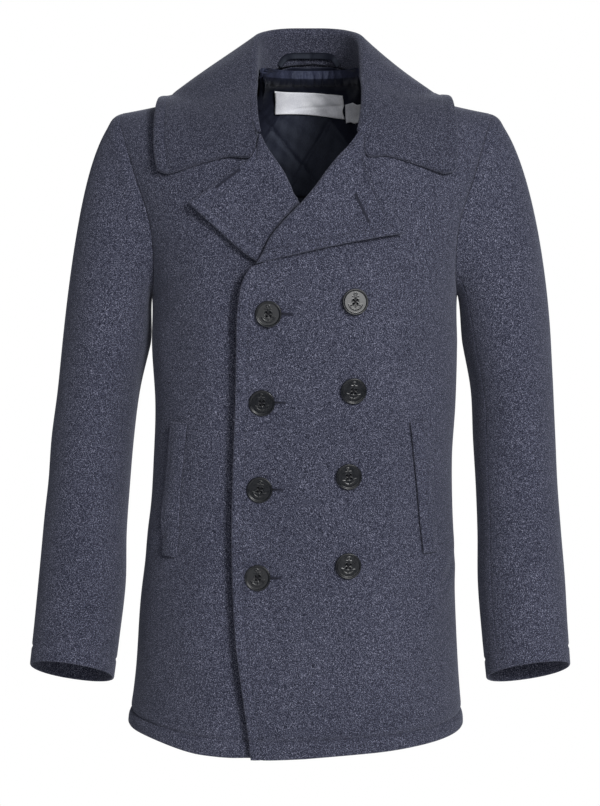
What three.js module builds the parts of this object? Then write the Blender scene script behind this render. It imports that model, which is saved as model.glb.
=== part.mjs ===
// A double-breasted pea coat of heavy wool, hollow and open as when it is worn.
// Millimetres, +Z up. The front faces -Y, and +X is the wearer's left.
// The origin lies at the shoulder line, midway between the shoulder tips.
import * as THREE from 'three';
import { mergeVertices } from 'three/addons/utils/BufferGeometryUtils.js';

// Cloth
const WALL = 2.6;          // one layer of wool melton with its lining
const FACED = 4.6;         // two layers turned and pressed: collar, lapels, welts
const SEAM = 0.3;          // gap between two pieces that are sewn together
const REST = 1.5;          // gap under a piece that lies on a curved panel

// Body
const HEM_Z = -780;
const UNDERARM_Z = -256;
const TIP_X = 216;         // shoulder tip, half the shoulder width
const TIP_DROP = 41.5;     // shoulder tip below the side neck
const NECK_X = 62;         // side neck, half the neck width
const NECK_RISE = 17;      // back neck seam above the side neck
const YOKE = 120;          // height over which the shoulder rolls into the chest
const YOKE_BACK = 100;     // the same over the shoulder blade
const PLAN = 2.4;          // how square the body is, seen from above

// Horizontal sections of the body: height, sideways sway, half width, and the
// depth of the front and of the back from the side seam
const BODY = [
  { z: 30, sway: 9, half: 262, front: 90, back: 112 },
  { z: 0, sway: 8, half: 256, front: 96, back: 112 },
  { z: -46, sway: 1, half: 244, front: 108, back: 112 },
  { z: -80, sway: 0, half: 230, front: 114, back: 111 },
  { z: -118, sway: 0, half: 216, front: 119, back: 110 },
  { z: -155, sway: 0, half: 202, front: 122, back: 108 },
  { z: -200, sway: 0, half: 190, front: 126, back: 104 },
  { z: -256, sway: 0, half: 181.5, front: 127, back: 98 },
  { z: -316, sway: 0, half: 182, front: 125, back: 92 },
  { z: -385, sway: 1, half: 179.5, front: 121, back: 87 },
  { z: -450, sway: -2, half: 179, front: 118, back: 86 },
  { z: -540, sway: -4, half: 183, front: 121, back: 96 },
  { z: -620, sway: -8, half: 190, front: 129, back: 110 },
  { z: -710, sway: -9, half: 196, front: 137, back: 120 },
  { z: -790, sway: -11, half: 205, front: 142, back: 125 },
];

// Front edge of the wearer's left front, which lies on top, from break to hem
const EDGE = [
  { z: -212, x: -57 }, { z: -226, x: -66 }, { z: -244, x: -71.5 }, { z: -278, x: -75.5 },
  { z: -366, x: -78 }, { z: -470, x: -82 }, { z: -550, x: -83 }, { z: -642, x: -79 },
  { z: -700, x: -72 }, { z: -790, x: -61 },
];
const UNDER_EDGE = 74;     // edge of the wearer's right front, hidden below

// Roll lines, where the lapels turn, and the neckline above them
const ROLL_TOP = [
  { z: -212, x: -54 }, { z: -203, x: -49 }, { z: -182, x: -40 }, { z: -164, x: -27 },
  { z: -142, x: -8 }, { z: -118, x: 10 }, { z: -107, x: 18 }, { z: -93, x: 30 },
  { z: -81, x: 42 }, { z: -62, x: 56 }, { z: -50, x: 63 }, { z: -29, x: 69 }, { z: 0, x: 71 },
];
const ROLL_UNDER = [
  { z: -212, x: 56 }, { z: -182, x: 34 }, { z: -160, x: 16 }, { z: -135, x: -5 },
  { z: -126, x: -9 }, { z: -108, x: -18 }, { z: -94, x: -28 }, { z: -81, x: -37 },
  { z: -62, x: -46 }, { z: -50, x: -51 }, { z: -28, x: -53 }, { z: 0, x: -54 },
];

// Lapels: outline points away from the roll line
const LAPEL_TOP = {
  side: 1, gorge: [63.3, -68], notch: [65.6, -93.8], tip: [110, -178], toe: [-54, -212], sag: -2,
};
const LAPEL_UNDER = {
  side: -1, gorge: [-49, -68], notch: [-58, -93.8], tip: [-127, -143], toe: [-52, -211], sag: 7,
};
// Sections of a lapel from the roll line outwards: a share of the width and a
// distance in millimetres for the upper and the under side, and their heights
const LAPEL_SECTION = [
  { j: 0, mm: 0, under: 1, top: 3.4, low: 0.9 },
  { j: 0, mm: 2.2, under: 3.8, top: REST + FACED + 2, low: REST },
  { j: 0, mm: 9, under: 9, top: REST + FACED + 3, low: REST + 0.4 },
  { j: 0.24, mm: 6, under: 6, top: REST + FACED + 2.2, low: REST + 0.8 },
  { j: 0.48, mm: 3, under: 3, top: REST + FACED + 1.4, low: REST + 0.8 },
  { j: 0.74, mm: 0, under: 0, top: REST + FACED + 1, low: REST + 0.6 },
  { j: 0.96, mm: 0, under: 0, top: REST + FACED + 0.4, low: REST + 0.2 },
  { j: 1, mm: 0, under: 0, top: REST + FACED - 1, low: REST },
];
const LAPEL_ROWS = 9;
const ROLL_BACK = 7;       // the panel under a lapel ends this far short of the roll line
const BREAK_Z = -212;      // where the fronts begin to turn back
const TUCK = 8;            // how far the under lapel runs below the top one

// Collar: half of each line, from the centre back to the gorge
const COLLAR_SEAM = [
  { x: 0, y: 85, z: 19 }, { x: 24, y: 80, z: 17 }, { x: 46, y: 58, z: 11 }, { x: 58, y: 26, z: 6 },
  { x: 61, y: -8, z: 0 }, { x: 61, y: -44, z: -18 }, { x: 59, y: -76, z: -42 }, { x: 57, y: -100, z: -64 },
];
const COLLAR_FOLD = [
  { x: 0, y: 72, z: 62 }, { x: 26, y: 69, z: 61.5 }, { x: 48, y: 54, z: 58 }, { x: 62, y: 28, z: 50 },
  { x: 65, y: -6, z: 30 }, { x: 65, y: -42, z: -2 }, { x: 63, y: -74, z: -35 }, { x: 59, y: -103, z: -62 },
];
const COLLAR_EDGE = [
  { x: 0, y: 122, z: -44 }, { x: 52, y: 118, z: -43 }, { x: 104, y: 96, z: -40 }, { x: 150, y: 53, z: -30 },
  { x: 168, y: 8, z: -27 }, { x: 169.5, y: -34, z: -46 }, { x: 170, y: -70, z: -80 }, { x: 166, y: -96, z: -110 },
];
const COLLAR_SWAY = 7;     // the neck sits a little towards the wearer's left
const FOLD_SWAY = 4.5;
// Front edge of the leaf from the gorge by the notch to the point
const COLLAR_FRONT = [
  { t: 0, x: 59, z: -62, sway: 7.5 }, { t: 0.22, x: 64, z: -91, sway: 4 },
  { t: 0.45, x: 91, z: -92.5, sway: 3 }, { t: 0.7, x: 124, z: -101, sway: 2.5 },
  { t: 0.9, x: 154, z: -111, sway: 2 }, { t: 1, x: 166, z: -108, sway: 2 },
];
const FOLD_R = 6.5;        // radius over the fold of the collar
const FOLD_STEPS = 4;
const LEAF_STEPS = [0.11, 0.22, 0.34, 0.48, 0.62, 0.76, 0.89, 1];
const LEAF_BULGE = { right: 6, left: 2 };   // the leaf stands off more on the wearer's right
const COLLAR_STEPS = 13;
const STAND_STEPS = 4;     // of these, how many the hanger loop lies within

// Armhole, seen from the side
const ARMHOLE = {
  z: -(TIP_DROP - UNDERARM_Z) / 2, high: (-TIP_DROP - UNDERARM_Z) / 2, y: -2, front: 62, back: 64,
};

// Rows and columns of the pieces
const LOWER_ROWS = [-735, -685, -635, -585, -540, -495, -450, -405, -362, -322, -288];
const ARM_STEPS = 9;
const SHOULDER_X = [190, 164, 138, 113, 92, 76];
const NECK_ROWS = [-1, 6, 12, 16.5];
const FRONT_COLUMNS = 13;
const BACK_COLUMNS = 11;
const SLEEVE_ROWS = [0, 0.08, 0.2, 0.35, 0.52, 0.75, 1, 2, 3, 4, 5, 6, 7, 8];
const FORE_STEP = 7;       // fore seam of the sleeve, in steps from the shoulder tip
const HIND_STEP = -6;      // hind seam
const SLEEVE_GAP = 0.003;  // half the gap at these seams, as an angle
const SLEEVE_PLAN = 2.15;
const CUFF_RISE = 0.14;    // the cuff lies a little higher on its outer side

// Sleeve sections from the biceps down: the centre, half width across, half
// depth fore and aft, and how far the front rides up at the tilted sections
const SLEEVE = [
  { z: -318, right: 238, left: 243, y: 12, across: 52.5, deep: 72, tilt: 0.02 },
  { z: -372, right: 247.4, left: 249.5, y: 9, across: 49, deep: 67, tilt: 0.08 },
  { z: -428, right: 254.5, left: 252, y: 1, across: 49, deep: 63, tilt: 0.17 },
  { z: -484, right: 258.5, left: 254.5, y: -10, across: 48.5, deep: 60, tilt: 0.26 },
  { z: -538, right: 262.8, left: 257, y: -22, across: 49.5, deep: 57, tilt: 0.34 },
  { z: -594, right: 265.3, left: 258.8, y: -36, across: 51.5, deep: 54, tilt: 0.4 },
  { z: -650, right: 270.7, left: 262, y: -50, across: 50.5, deep: 50, tilt: 0.45 },
  { z: -700, right: 276.5, left: 266, y: -60, across: 49.5, deep: 47, tilt: 0.47 },
];

// Largest soft folds: place, half length and half width, height, and lean
const BODY_FOLDS = [
  { x: -168, z: -520, long: 60, wide: 22, high: 5, lean: 0.5, back: false },
  { x: -150, z: -310, long: 80, wide: 26, high: -4, lean: -0.25, back: false },
  { x: 152, z: -310, long: 80, wide: 26, high: -4, lean: 0.25, back: false },
  { x: 168, z: -580, long: 50, wide: 20, high: 3.5, lean: 0.4, back: false },
  { x: -104, z: -690, long: 110, wide: 34, high: 3.5, lean: -0.12, back: false },
  { x: 118, z: -690, long: 110, wide: 34, high: 3.5, lean: 0.12, back: false },
  { x: -90, z: -420, long: 120, wide: 30, high: 4, lean: 0.2, back: true },
  { x: 84, z: -430, long: 120, wide: 30, high: 4, lean: -0.2, back: true },
  { x: 6, z: -660, long: 130, wide: 40, high: -4, lean: 0, back: true },
];

const SLEEVE_FOLDS = [
  { s: 2.4, angle: 2.2, long: 0.35, wide: 0.5, high: -3, lean: 0.8 },
  { s: 3.4, angle: 2.0, long: 0.4, wide: 0.5, high: -3, lean: -0.7 },
  { s: 4.6, angle: 1.2, long: 0.5, wide: 0.45, high: 2, lean: 0.5 },
  { s: 2.9, angle: -1.9, long: 0.6, wide: 0.6, high: 3, lean: 0.3 },
];

// Buttons: centres on the top front
const BUTTON = { radius: 15, thick: 4.2, rim: 2.6, dish: 1.1 };
const BUTTONS = [
  { name: 'button_r1', x: -40.5, z: -268 }, { name: 'button_r2', x: -48.5, z: -370 },
  { name: 'button_r3', x: -51.5, z: -471 }, { name: 'button_r4', x: -54, z: -573 },
  { name: 'button_l1', x: 56, z: -255 }, { name: 'button_l2', x: 55, z: -356.5 },
  { name: 'button_l3', x: 50, z: -456 }, { name: 'button_l4', x: 49.5, z: -559.5 },
];

// Pocket welts: centre line from top to bottom, and the width
const WELTS = [
  { name: 'pocket_welt_right', top: [-144.5, -398], foot: [-154.5, -556], wide: 19 },
  { name: 'pocket_welt_left', top: [130, -395], foot: [144.5, -551], wide: 19 },
];

const WELT_ROWS = 8;
const WELT_HIGH = 4;
const WELT_GAP = 1.1;
// Section of a welt: place across it from -1 to 1, and share of its height
const WELT_SECTION = [[-1, 0.45], [-0.7, 0.95], [0, 1.1], [0.7, 0.95], [1, 0.45]];
const BUTTON_SIDES = 16;
const BUTTON_GAP = 0.6;

// Lining in the back of the neck
const LINING_FOOT = -140;
const LINING_COLUMNS = 5;  // on each side of the centre, the panels' own columns
const LINING_GAP = 0.8;
const LINING_WALL = 1.2;

// Bare labels: left and right ends of the upper and the lower edge, their
// heights, and how much the edges run down to the right
const LABELS = [
  { name: 'neck_label', top: [-37, 49], foot: [-35, 50], z: [-11, -40], slant: 0.08, columns: 8, rows: 4 },
  { name: 'care_label', top: [53, 72], foot: [53, 63], z: [-27, -50], slant: -0.1, columns: 3, rows: 3 },
];
const LABEL_GAP = 0.9;
const LABEL_WALL = 1;

// Hanger loop: centre line of its band from foot to foot
const LOOP_PATH = [
  { x: -28, z: 21 }, { x: -24, z: 25.5 }, { x: -18, z: 28 }, { x: -6, z: 28.6 }, { x: 7, z: 28.8 },
  { x: 20, z: 28.6 }, { x: 31, z: 28 }, { x: 36.5, z: 25.5 }, { x: 40.5, z: 21 },
];
const LOOP_BAND = 8;
const LOOP_WALL = 1.8;
const LOOP_GAP = 1;

const MELTON = new THREE.MeshStandardMaterial({ color: 0x4b525d, roughness: 0.95 });
const SATIN = new THREE.MeshStandardMaterial({ color: 0x14161c, roughness: 0.4 });
const HORN = new THREE.MeshStandardMaterial({ color: 0x202229, roughness: 0.35 });
const TAPE = new THREE.MeshStandardMaterial({ color: 0xe6e6e2, roughness: 0.7 });

const clamp = (v, lo, hi) => Math.min(hi, Math.max(lo, v));
const mix = (a, b, t) => a + (b - a) * t;
const smooth = (v, from, to) => {
  const t = clamp((v - from) / (to - from), 0, 1);
  return t * t * (3 - 2 * t);
};

// Value of one column of a table at a key, on a smooth curve through the rows
function look(rows, key, at, column) {
  const up = rows[rows.length - 1][key] > rows[0][key] ? 1 : -1;
  const last = rows.length - 1;
  if ((at - rows[0][key]) * up <= 0) return rows[0][column];
  if ((at - rows[last][key]) * up >= 0) return rows[last][column];
  let i = 0;
  while ((at - rows[i + 1][key]) * up > 0) i += 1;
  const slope = (a, b) => (rows[b][column] - rows[a][column]) / (rows[b][key] - rows[a][key]);
  const span = rows[i + 1][key] - rows[i][key];
  const t = (at - rows[i][key]) / span;
  const start = slope(Math.max(i - 1, 0), i + 1) * span;
  const end = slope(i, Math.min(i + 2, last)) * span;
  const a = rows[i][column];
  const b = rows[i + 1][column];
  const t2 = t * t;
  const t3 = t2 * t;
  return a * (2 * t3 - 3 * t2 + 1) + start * (t3 - 2 * t2 + t) + b * (3 * t2 - 2 * t3) + end * (t3 - t2);
}

// Point at t from 0 to 1 on a smooth curve through a table of x, y, z
function along(rows, t) {
  const table = rows.map((row, i) => ({ ...row, i }));
  const at = t * (rows.length - 1);
  return [look(table, 'i', at, 'x'), look(table, 'i', at, 'y'), look(table, 'i', at, 'z')];
}

// Height of the shoulder seam over a distance from the neck centre
function shoulderHeight(x, back) {
  const far = Math.abs(x);
  const t = (far - NECK_X) / (TIP_X - NECK_X);
  if (back && far < NECK_X) return 57 * (1 - (far / NECK_X) ** 1.75);
  return -TIP_DROP * (1.35 * t - 0.35 * t * t);
}

// Distance from the neck centre at which the shoulder seam has a height
function shoulderReach(z) {
  const root = Math.sqrt(1.35 * 1.35 + 4 * 0.35 * z / TIP_DROP);
  return NECK_X + (TIP_X - NECK_X) * (1.35 - root) / 0.7;
}

const yokeHeight = (back) => (back ? YOKE_BACK : YOKE);

// How much of the full depth the shoulder roll leaves at a drop below the seam
function yokeRoll(x, z, back) {
  const drop = (shoulderHeight(x, back) - z) / yokeHeight(back);
  return Math.sqrt(1 - (1 - clamp(drop, 0, 1)) ** 2);
}

// Soft folds raised on the front or back of the body at a place
function bodyFold(x, y, z) {
  let sum = 0;
  for (const f of BODY_FOLDS) {
    const dz = z - f.z;
    const dx = x - f.x - f.lean * dz;
    const share = f.back ? smooth(y, 0, 40) : smooth(-y, 0, 40);
    sum += share * f.high * Math.exp(-((dz / f.long) ** 2) - (dx / f.wide) ** 2);
  }
  return sum;
}

const sway = (z) => look(BODY, 'z', z, 'sway');
const halfWidth = (z) => look(BODY, 'z', z, 'half');

// Depth of the body's outer surface at x and z, front or back
function depthAt(x, z, back) {
  const across = clamp(Math.abs(x - sway(z)) / halfWidth(z), 0, 1);
  const full = look(BODY, 'z', z, back ? 'back' : 'front');
  return full * (1 - across ** PLAN) ** (1 / PLAN) * yokeRoll(x - sway(z), z, back);
}

// A field that is zero on the body's surface and grows outside it
function field(x, y, z) {
  const back = y > 0;
  const full = look(BODY, 'z', z, back ? 'back' : 'front');
  const off = Math.abs(x - sway(z));
  const across = Math.min(off / halfWidth(z), 0.9999);
  if (z < UNDERARM_Z + 70) {
    return (off / halfWidth(z)) ** PLAN + Math.abs(y / full) ** PLAN - 1;
  }
  const ring = full * (1 - across ** PLAN) ** (1 / PLAN);
  const drop = (shoulderHeight(off, back) - z) / yokeHeight(off, back);
  return (y / ring) ** 2 + Math.max(0, 1 - drop) ** 2 - 1;
}

function outward(p) {
  const h = 0.5;
  const n = new THREE.Vector3(
    field(p[0] + h, p[1], p[2]) - field(p[0] - h, p[1], p[2]),
    field(p[0], p[1] + h, p[2]) - field(p[0], p[1] - h, p[2]),
    field(p[0], p[1], p[2] + h) - field(p[0], p[1], p[2] - h),
  );
  return { n: n.clone().normalize(), rate: n.length() / (2 * h) };
}

const moved = (p, n, by) => [p[0] + n.x * by, p[1] + n.y * by, p[2] + n.z * by];

// Pushes a point out until it clears the body by a distance
function clearOf(p, by) {
  let q = p;
  for (let i = 0; i < 6; i += 1) {
    const { n, rate } = outward(q);
    const away = field(...q) / rate;
    if (away >= by) break;
    q = moved(q, n, by - away);
  }
  return q;
}

// How far the top front stands off the body line where the layers overlap
function topLift(x, z) {
  const lapelStack = 5 * (1 - smooth(x, -5, 62)) * smooth(z, -330, -232);
  return 2.6 * (1 - smooth(x, 70, 130)) + lapelStack;
}
const underLift = (x) => -2.2 * smooth(x, -130, -86);

// Two faces of a cell, split along one diagonal or, when turned, the other
const split = ([a, b, c, d], turned) => (turned ? [[b, c, d], [b, d, a]] : [[a, b, c], [a, c, d]]);

// Closed shell from a grid of outer points and the points of its inside
function shell(outer, inner, turned = () => false) {
  const rows = outer.length;
  const cols = outer[0].length;
  const points = [...outer.flat(), ...inner.flat()];
  const faces = [];
  const half = rows * cols;
  const at = (r, c, side) => side * half + r * cols + c;
  const quad = (a, b, c, d) => faces.push([a, b, c], [a, c, d]);
  for (let r = 0; r < rows - 1; r += 1) {
    for (let c = 0; c < cols - 1; c += 1) {
      for (const side of [0, 1]) {
        const cell = [at(r, c, side), at(r, c + 1, side), at(r + 1, c + 1, side), at(r + 1, c, side)];
        const pair = split(cell, turned(c));
        faces.push(...(side ? pair.map(([i, j, k]) => [i, k, j]) : pair));
      }
    }
  }
  for (let c = 0; c < cols - 1; c += 1) {
    quad(at(0, c, 0), at(0, c, 1), at(0, c + 1, 1), at(0, c + 1, 0));
    quad(at(rows - 1, c, 0), at(rows - 1, c + 1, 0), at(rows - 1, c + 1, 1), at(rows - 1, c, 1));
  }
  for (let r = 0; r < rows - 1; r += 1) {
    quad(at(r, 0, 0), at(r + 1, 0, 0), at(r + 1, 0, 1), at(r, 0, 1));
    quad(at(r, cols - 1, 0), at(r, cols - 1, 1), at(r + 1, cols - 1, 1), at(r + 1, cols - 1, 0));
  }
  return body(points, faces);
}

// Geometry from points and faces, turned so that the faces point outwards
function body(points, faces) {
  let volume = 0;
  const v = points.map((p) => new THREE.Vector3(...p));
  for (const [a, b, c] of faces) volume += v[a].dot(new THREE.Vector3().crossVectors(v[b], v[c]));
  const geometry = new THREE.BufferGeometry();
  geometry.setAttribute('position', new THREE.Float32BufferAttribute(points.flat(), 3));
  geometry.setIndex(faces.flatMap(([a, b, c]) => (volume > 0 ? [a, b, c] : [a, c, b])));
  geometry.computeVertexNormals();
  return geometry;
}

const group = new THREE.Group();
group.name = 'pea_coat';

function add(name, geometry, material) {
  const mesh = new THREE.Mesh(geometry, material.clone());
  mesh.name = name;
  group.add(mesh);
  return mesh;
}

// Armhole point at an angle from the shoulder tip, forwards to the underarm
function armhole(angle, side) {
  const back = Math.sin(angle) < 0;
  const deep = back ? ARMHOLE.back : ARMHOLE.front;
  const y = -deep * Math.sin(angle) * (1 - 0.1 * Math.cos(angle)) + ARMHOLE.y * Math.sin(angle) ** 2;
  const z = ARMHOLE.z + ARMHOLE.high * Math.cos(angle);
  let near = 100;
  let far = z < -TIP_DROP ? halfWidth(z) : TIP_X;
  for (let i = 0; i < 40; i += 1) {
    const x = (near + far) / 2;
    if (depthAt(sway(z) + side * x, z, back) > Math.abs(y)) near = x;
    else far = x;
  }
  return [sway(z) + side * near, y, z];
}

// Direction in the panel's surface that leads out of the panel at the armhole
function armholeEdge(angle, side) {
  const h = 0.03;
  const a = armhole(angle + h, side);
  const b = armhole(angle - h, side);
  const run = new THREE.Vector3(...a.map((v, i) => v - b[i]));
  return outward(armhole(angle, side)).n.cross(run).multiplyScalar(side).normalize().toArray();
}

// Point on a body panel at x and z, raised by a distance
function onPanel(x, z, back, up) {
  const y = (back ? 1 : -1) * Math.max(depthAt(x, z, back), SEAM / 2);
  const p = [x, y, z];
  const { n } = outward(p);
  return { p: moved(p, n, up + bodyFold(x, y, z)), n };
}

// Outer end of a panel row: side seam, armhole, shoulder seam or back neck
function panelEnd(z, side, back) {
  if (z <= UNDERARM_Z) return sway(z) + side * halfWidth(z);
  if (z > 0) return sway(z) + side * NECK_X * Math.sqrt(1 - z / (NECK_RISE + 2));
  if (z >= -TIP_DROP) return sway(z) + side * shoulderReach(z);
  const angle = Math.acos(clamp((z - ARMHOLE.z) / ARMHOLE.high, -1, 1)) * (back ? -1 : 1);
  return armhole(angle, side)[0];
}

// Heights of the rows of a panel: hem to underarm, armhole, shoulder, back neck
function panelHeights(back) {
  const arm = Array.from({ length: ARM_STEPS + 1 }, (_, i) => {
    const angle = Math.PI * (1 - i / ARM_STEPS);
    return ARMHOLE.z + ARMHOLE.high * Math.cos(angle);
  });
  const shoulder = SHOULDER_X.map((x) => shoulderHeight(x, false));
  return [HEM_Z, ...LOWER_ROWS, ...arm, ...shoulder, ...(back ? NECK_ROWS : [])];
}

// The hem: lower at the front corner, a little higher at the sides
const hemShift = (x, y) => (y < 0 ? -4 * Math.exp(-(((x + 58) / 70) ** 2)) : 0)
  + (x < 0 ? 9 * smooth(-x, 120, 200) : 0.035 * x) * smooth(-y, -60, 40);

// One body panel: rows from the inner edge to the side, both given by x
function panel(inner, side, back, columns, lift) {
  const outer = [];
  const inside = [];
  for (const z of panelHeights(back)) {
    const from = inner(z);
    const to = panelEnd(z, side, back);
    const row = [];
    const rowIn = [];
    for (let c = 0; c <= columns; c += 1) {
      const x = mix(from, to, Math.sin((c / columns) * Math.PI / 2));
      const { p, n } = onPanel(x, z, back, lift(x, z));
      const q = moved(p, n, -WALL);
      if (z === HEM_Z) {
        p[2] += hemShift(p[0], p[1]);
        q[2] = p[2];
      }
      row.push(p);
      rowIn.push(q);
    }
    outer.push(row);
    inside.push(rowIn);
  }
  return shell(outer, inside);
}

function fronts() {
  const topEdge = (z) => (z < BREAK_Z ? look(EDGE, 'z', z, 'x') : look(ROLL_TOP, 'z', z, 'x') + ROLL_BACK);
  const underEdge = (z) => {
    if (z < BREAK_Z - 48) return UNDER_EDGE;
    if (z < BREAK_Z) return mix(ROLL_UNDER[0].x, UNDER_EDGE, smooth(-z, -BREAK_Z, 48 - BREAK_Z)) - ROLL_BACK;
    return look(ROLL_UNDER, 'z', z, 'x') - ROLL_BACK;
  };
  add('front_left', panel(topEdge, 1, false, FRONT_COLUMNS, topLift), MELTON);
  add('front_right', panel(underEdge, -1, false, FRONT_COLUMNS, (x) => underLift(x)), MELTON);
}

function backs() {
  for (const side of [-1, 1]) {
    const middle = (z) => sway(z) + side * SEAM / 2;
    add(side < 0 ? 'back_right' : 'back_left', panel(middle, side, true, BACK_COLUMNS, () => 0), MELTON);
  }
}

// Point on the outside of a sleeve: angle round it, and s from 0 at the armhole
// through 1 at the biceps section to the last section at the cuff
function sleeveRing(side, angle, row) {
  const centre = side < 0 ? 'right' : 'left';
  const at = SLEEVE.map((r, i) => ({ ...r, i }));
  const get = (column) => look(at, 'i', row, column);
  const round = (v) => Math.sign(v) * Math.abs(v) ** (2 / SLEEVE_PLAN);
  const across = get('across') * round(Math.cos(angle));
  const deep = -get('deep') * round(Math.sin(angle));
  const rise = CUFF_RISE * smooth(row, 4, SLEEVE.length - 1) * across;
  return [side * (get(centre) + across), get('y') + deep, get('z') - get('tilt') * deep + rise];
}

function sleevePoint(side, angle, s) {
  const fold = sleeveFold(side, angle, s);
  if (s >= 1) return sleeveRing(side, angle, s - 1).map((v, i) => v + fold * sleeveRound(side, angle)[i]);
  const start = armhole(angle, side);
  const end = sleeveRing(side, angle, 0);
  const next = sleeveRing(side, angle, 0.25);
  const chord = Math.hypot(...end.map((v, i) => v - start[i]));
  const down = end.map((v, i) => v - next[i]);
  const step = Math.hypot(...down);
  const top = (1 + Math.cos(angle)) / 2;
  const leave = chord * mix(0.14, 0.3, Math.sin(angle) ** 2);
  const arrive = chord * mix(0.3, 0.42, top);
  const away = armholeEdge(angle, side);
  const tangent = [side * 0.88, -0.2 * Math.sin(angle), -0.47].map((v, i) => 0.65 * v + 0.35 * away[i]);
  const a = start.map((v, i) => v + SEAM * away[i]);
  const b = a.map((v, i) => v + tangent[i] * leave);
  const c = end.map((v, i) => v + down[i] / step * arrive);
  const u = 1 - s;
  return a.map((v, i) => (
    u ** 3 * v + 3 * u * u * s * b[i] + 3 * u * s * s * c[i] + s ** 3 * end[i]
    + fold * sleeveRound(side, angle)[i]
  ));
}

const sleeveRound = (side, angle) => [side * Math.cos(angle), -Math.sin(angle), 0];

// Soft folds of a sleeve
function sleeveFold(side, angle, s) {
  let sum = 0;
  for (const f of SLEEVE_FOLDS) {
    const turn = Math.atan2(Math.sin(angle - f.angle), Math.cos(angle - f.angle)) - f.lean * (s - f.s);
    sum += f.high * Math.exp(-(((s - f.s) / f.long) ** 2) - (turn / f.wide) ** 2);
  }
  return sum;
}

function sleeveNormal(side, angle, s) {
  const h = 0.02;
  const du = sleevePoint(side, angle + h, s).map((v, i) => v - sleevePoint(side, angle - h, s)[i]);
  const dv = sleevePoint(side, angle, s + h).map((v, i) => v - sleevePoint(side, angle, Math.max(s - h, 0))[i]);
  const n = new THREE.Vector3(...du).cross(new THREE.Vector3(...dv)).normalize();
  return n.multiplyScalar(side);
}

// One sleeve piece between two of the steps round the armhole
function sleevePiece(side, first, last) {
  const outer = [];
  const inside = [];
  for (const s of SLEEVE_ROWS) {
    const row = [];
    const rowIn = [];
    for (let k = first; k <= last; k += 1) {
      const edge = k === first ? SLEEVE_GAP : k === last ? -SLEEVE_GAP : 0;
      const angle = (k / ARM_STEPS) * Math.PI + edge;
      const p = sleevePoint(side, angle, s);
      const n = s === 0 ? outward(armhole(angle, side)).n : sleeveNormal(side, angle, s);
      const q = moved(p, n, -WALL);
      const away = armholeEdge(angle, side);
      row.push(p);
      rowIn.push(s === 0 ? q.map((v, i) => v + 2 * SEAM * away[i]) : q);
    }
    outer.push(row);
    inside.push(rowIn);
  }
  return shell(outer, inside);
}

function sleeves() {
  for (const side of [-1, 1]) {
    const name = side < 0 ? 'right' : 'left';
    add(`top_sleeve_${name}`, sleevePiece(side, HIND_STEP, FORE_STEP), MELTON);
    add(`under_sleeve_${name}`, sleevePiece(side, FORE_STEP, HIND_STEP + 2 * ARM_STEPS), MELTON);
  }
}

// Lapel patch: i from the toe to the gorge, j from the roll line outwards
function lapelPlan(shape, roll) {
  const rollAt = (i) => {
    const z = mix(shape.toe[1], shape.gorge[1], i);
    return [roll(z), z];
  };
  const lower = (j) => {
    const bow = shape.sag * 4 * j * (1 - j);
    return [mix(shape.toe[0], shape.tip[0], j) - bow * shape.side * 0.4, mix(shape.toe[1], shape.tip[1], j) - bow];
  };
  const gorge = (j) => [mix(shape.gorge[0], shape.notch[0], j), mix(shape.gorge[1], shape.notch[1], j)];
  const outer = (i) => [mix(shape.tip[0], shape.notch[0], i), mix(shape.tip[1], shape.notch[1], i)];
  return (i, j) => [0, 1].map((k) => (
    (1 - j) * rollAt(i)[k] + j * outer(i)[k] + (1 - i) * lower(j)[k] + i * gorge(j)[k]
    - (1 - i) * (1 - j) * rollAt(0)[k] - (1 - i) * j * shape.tip[k]
    - i * (1 - j) * rollAt(1)[k] - i * j * shape.notch[k]
  ));
}

function lapel(name, shape, roll, lift) {
  const plan = lapelPlan(shape, roll);
  const outer = [];
  const inside = [];
  for (let r = 0; r <= LAPEL_ROWS; r += 1) {
    const i = r / LAPEL_ROWS;
    const a = plan(i, 0);
    const b = plan(i, 1);
    const wide = Math.max(Math.hypot(b[0] - a[0], b[1] - a[1]), 12);
    const row = [];
    const rowIn = [];
    for (const col of LAPEL_SECTION) {
      const j = Math.min(col.j + col.mm / wide, 0.3 + col.j);
      const jIn = Math.min(col.j + col.under / wide, 0.3 + col.j);
      const [x, z] = plan(i, Math.min(j, 1));
      const [xIn, zIn] = plan(i, Math.min(jIn, 1));
      row.push(onPanel(x, z, false, lift(x, z) + col.top).p);
      rowIn.push(onPanel(xIn, zIn, false, lift(xIn, zIn) + col.low).p);
    }
    outer.push(row);
    inside.push(rowIn);
  }
  add(name, shell(outer, inside), MELTON);
}

function lapels() {
  const top = (z) => look(ROLL_TOP, 'z', z, 'x');
  const under = (z) => Math.min(look(ROLL_UNDER, 'z', z, 'x'), top(z) + TUCK);
  lapel('lapel_left', LAPEL_TOP, top, topLift);
  lapel('lapel_right', LAPEL_UNDER, under, (x) => underLift(x));
}

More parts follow.
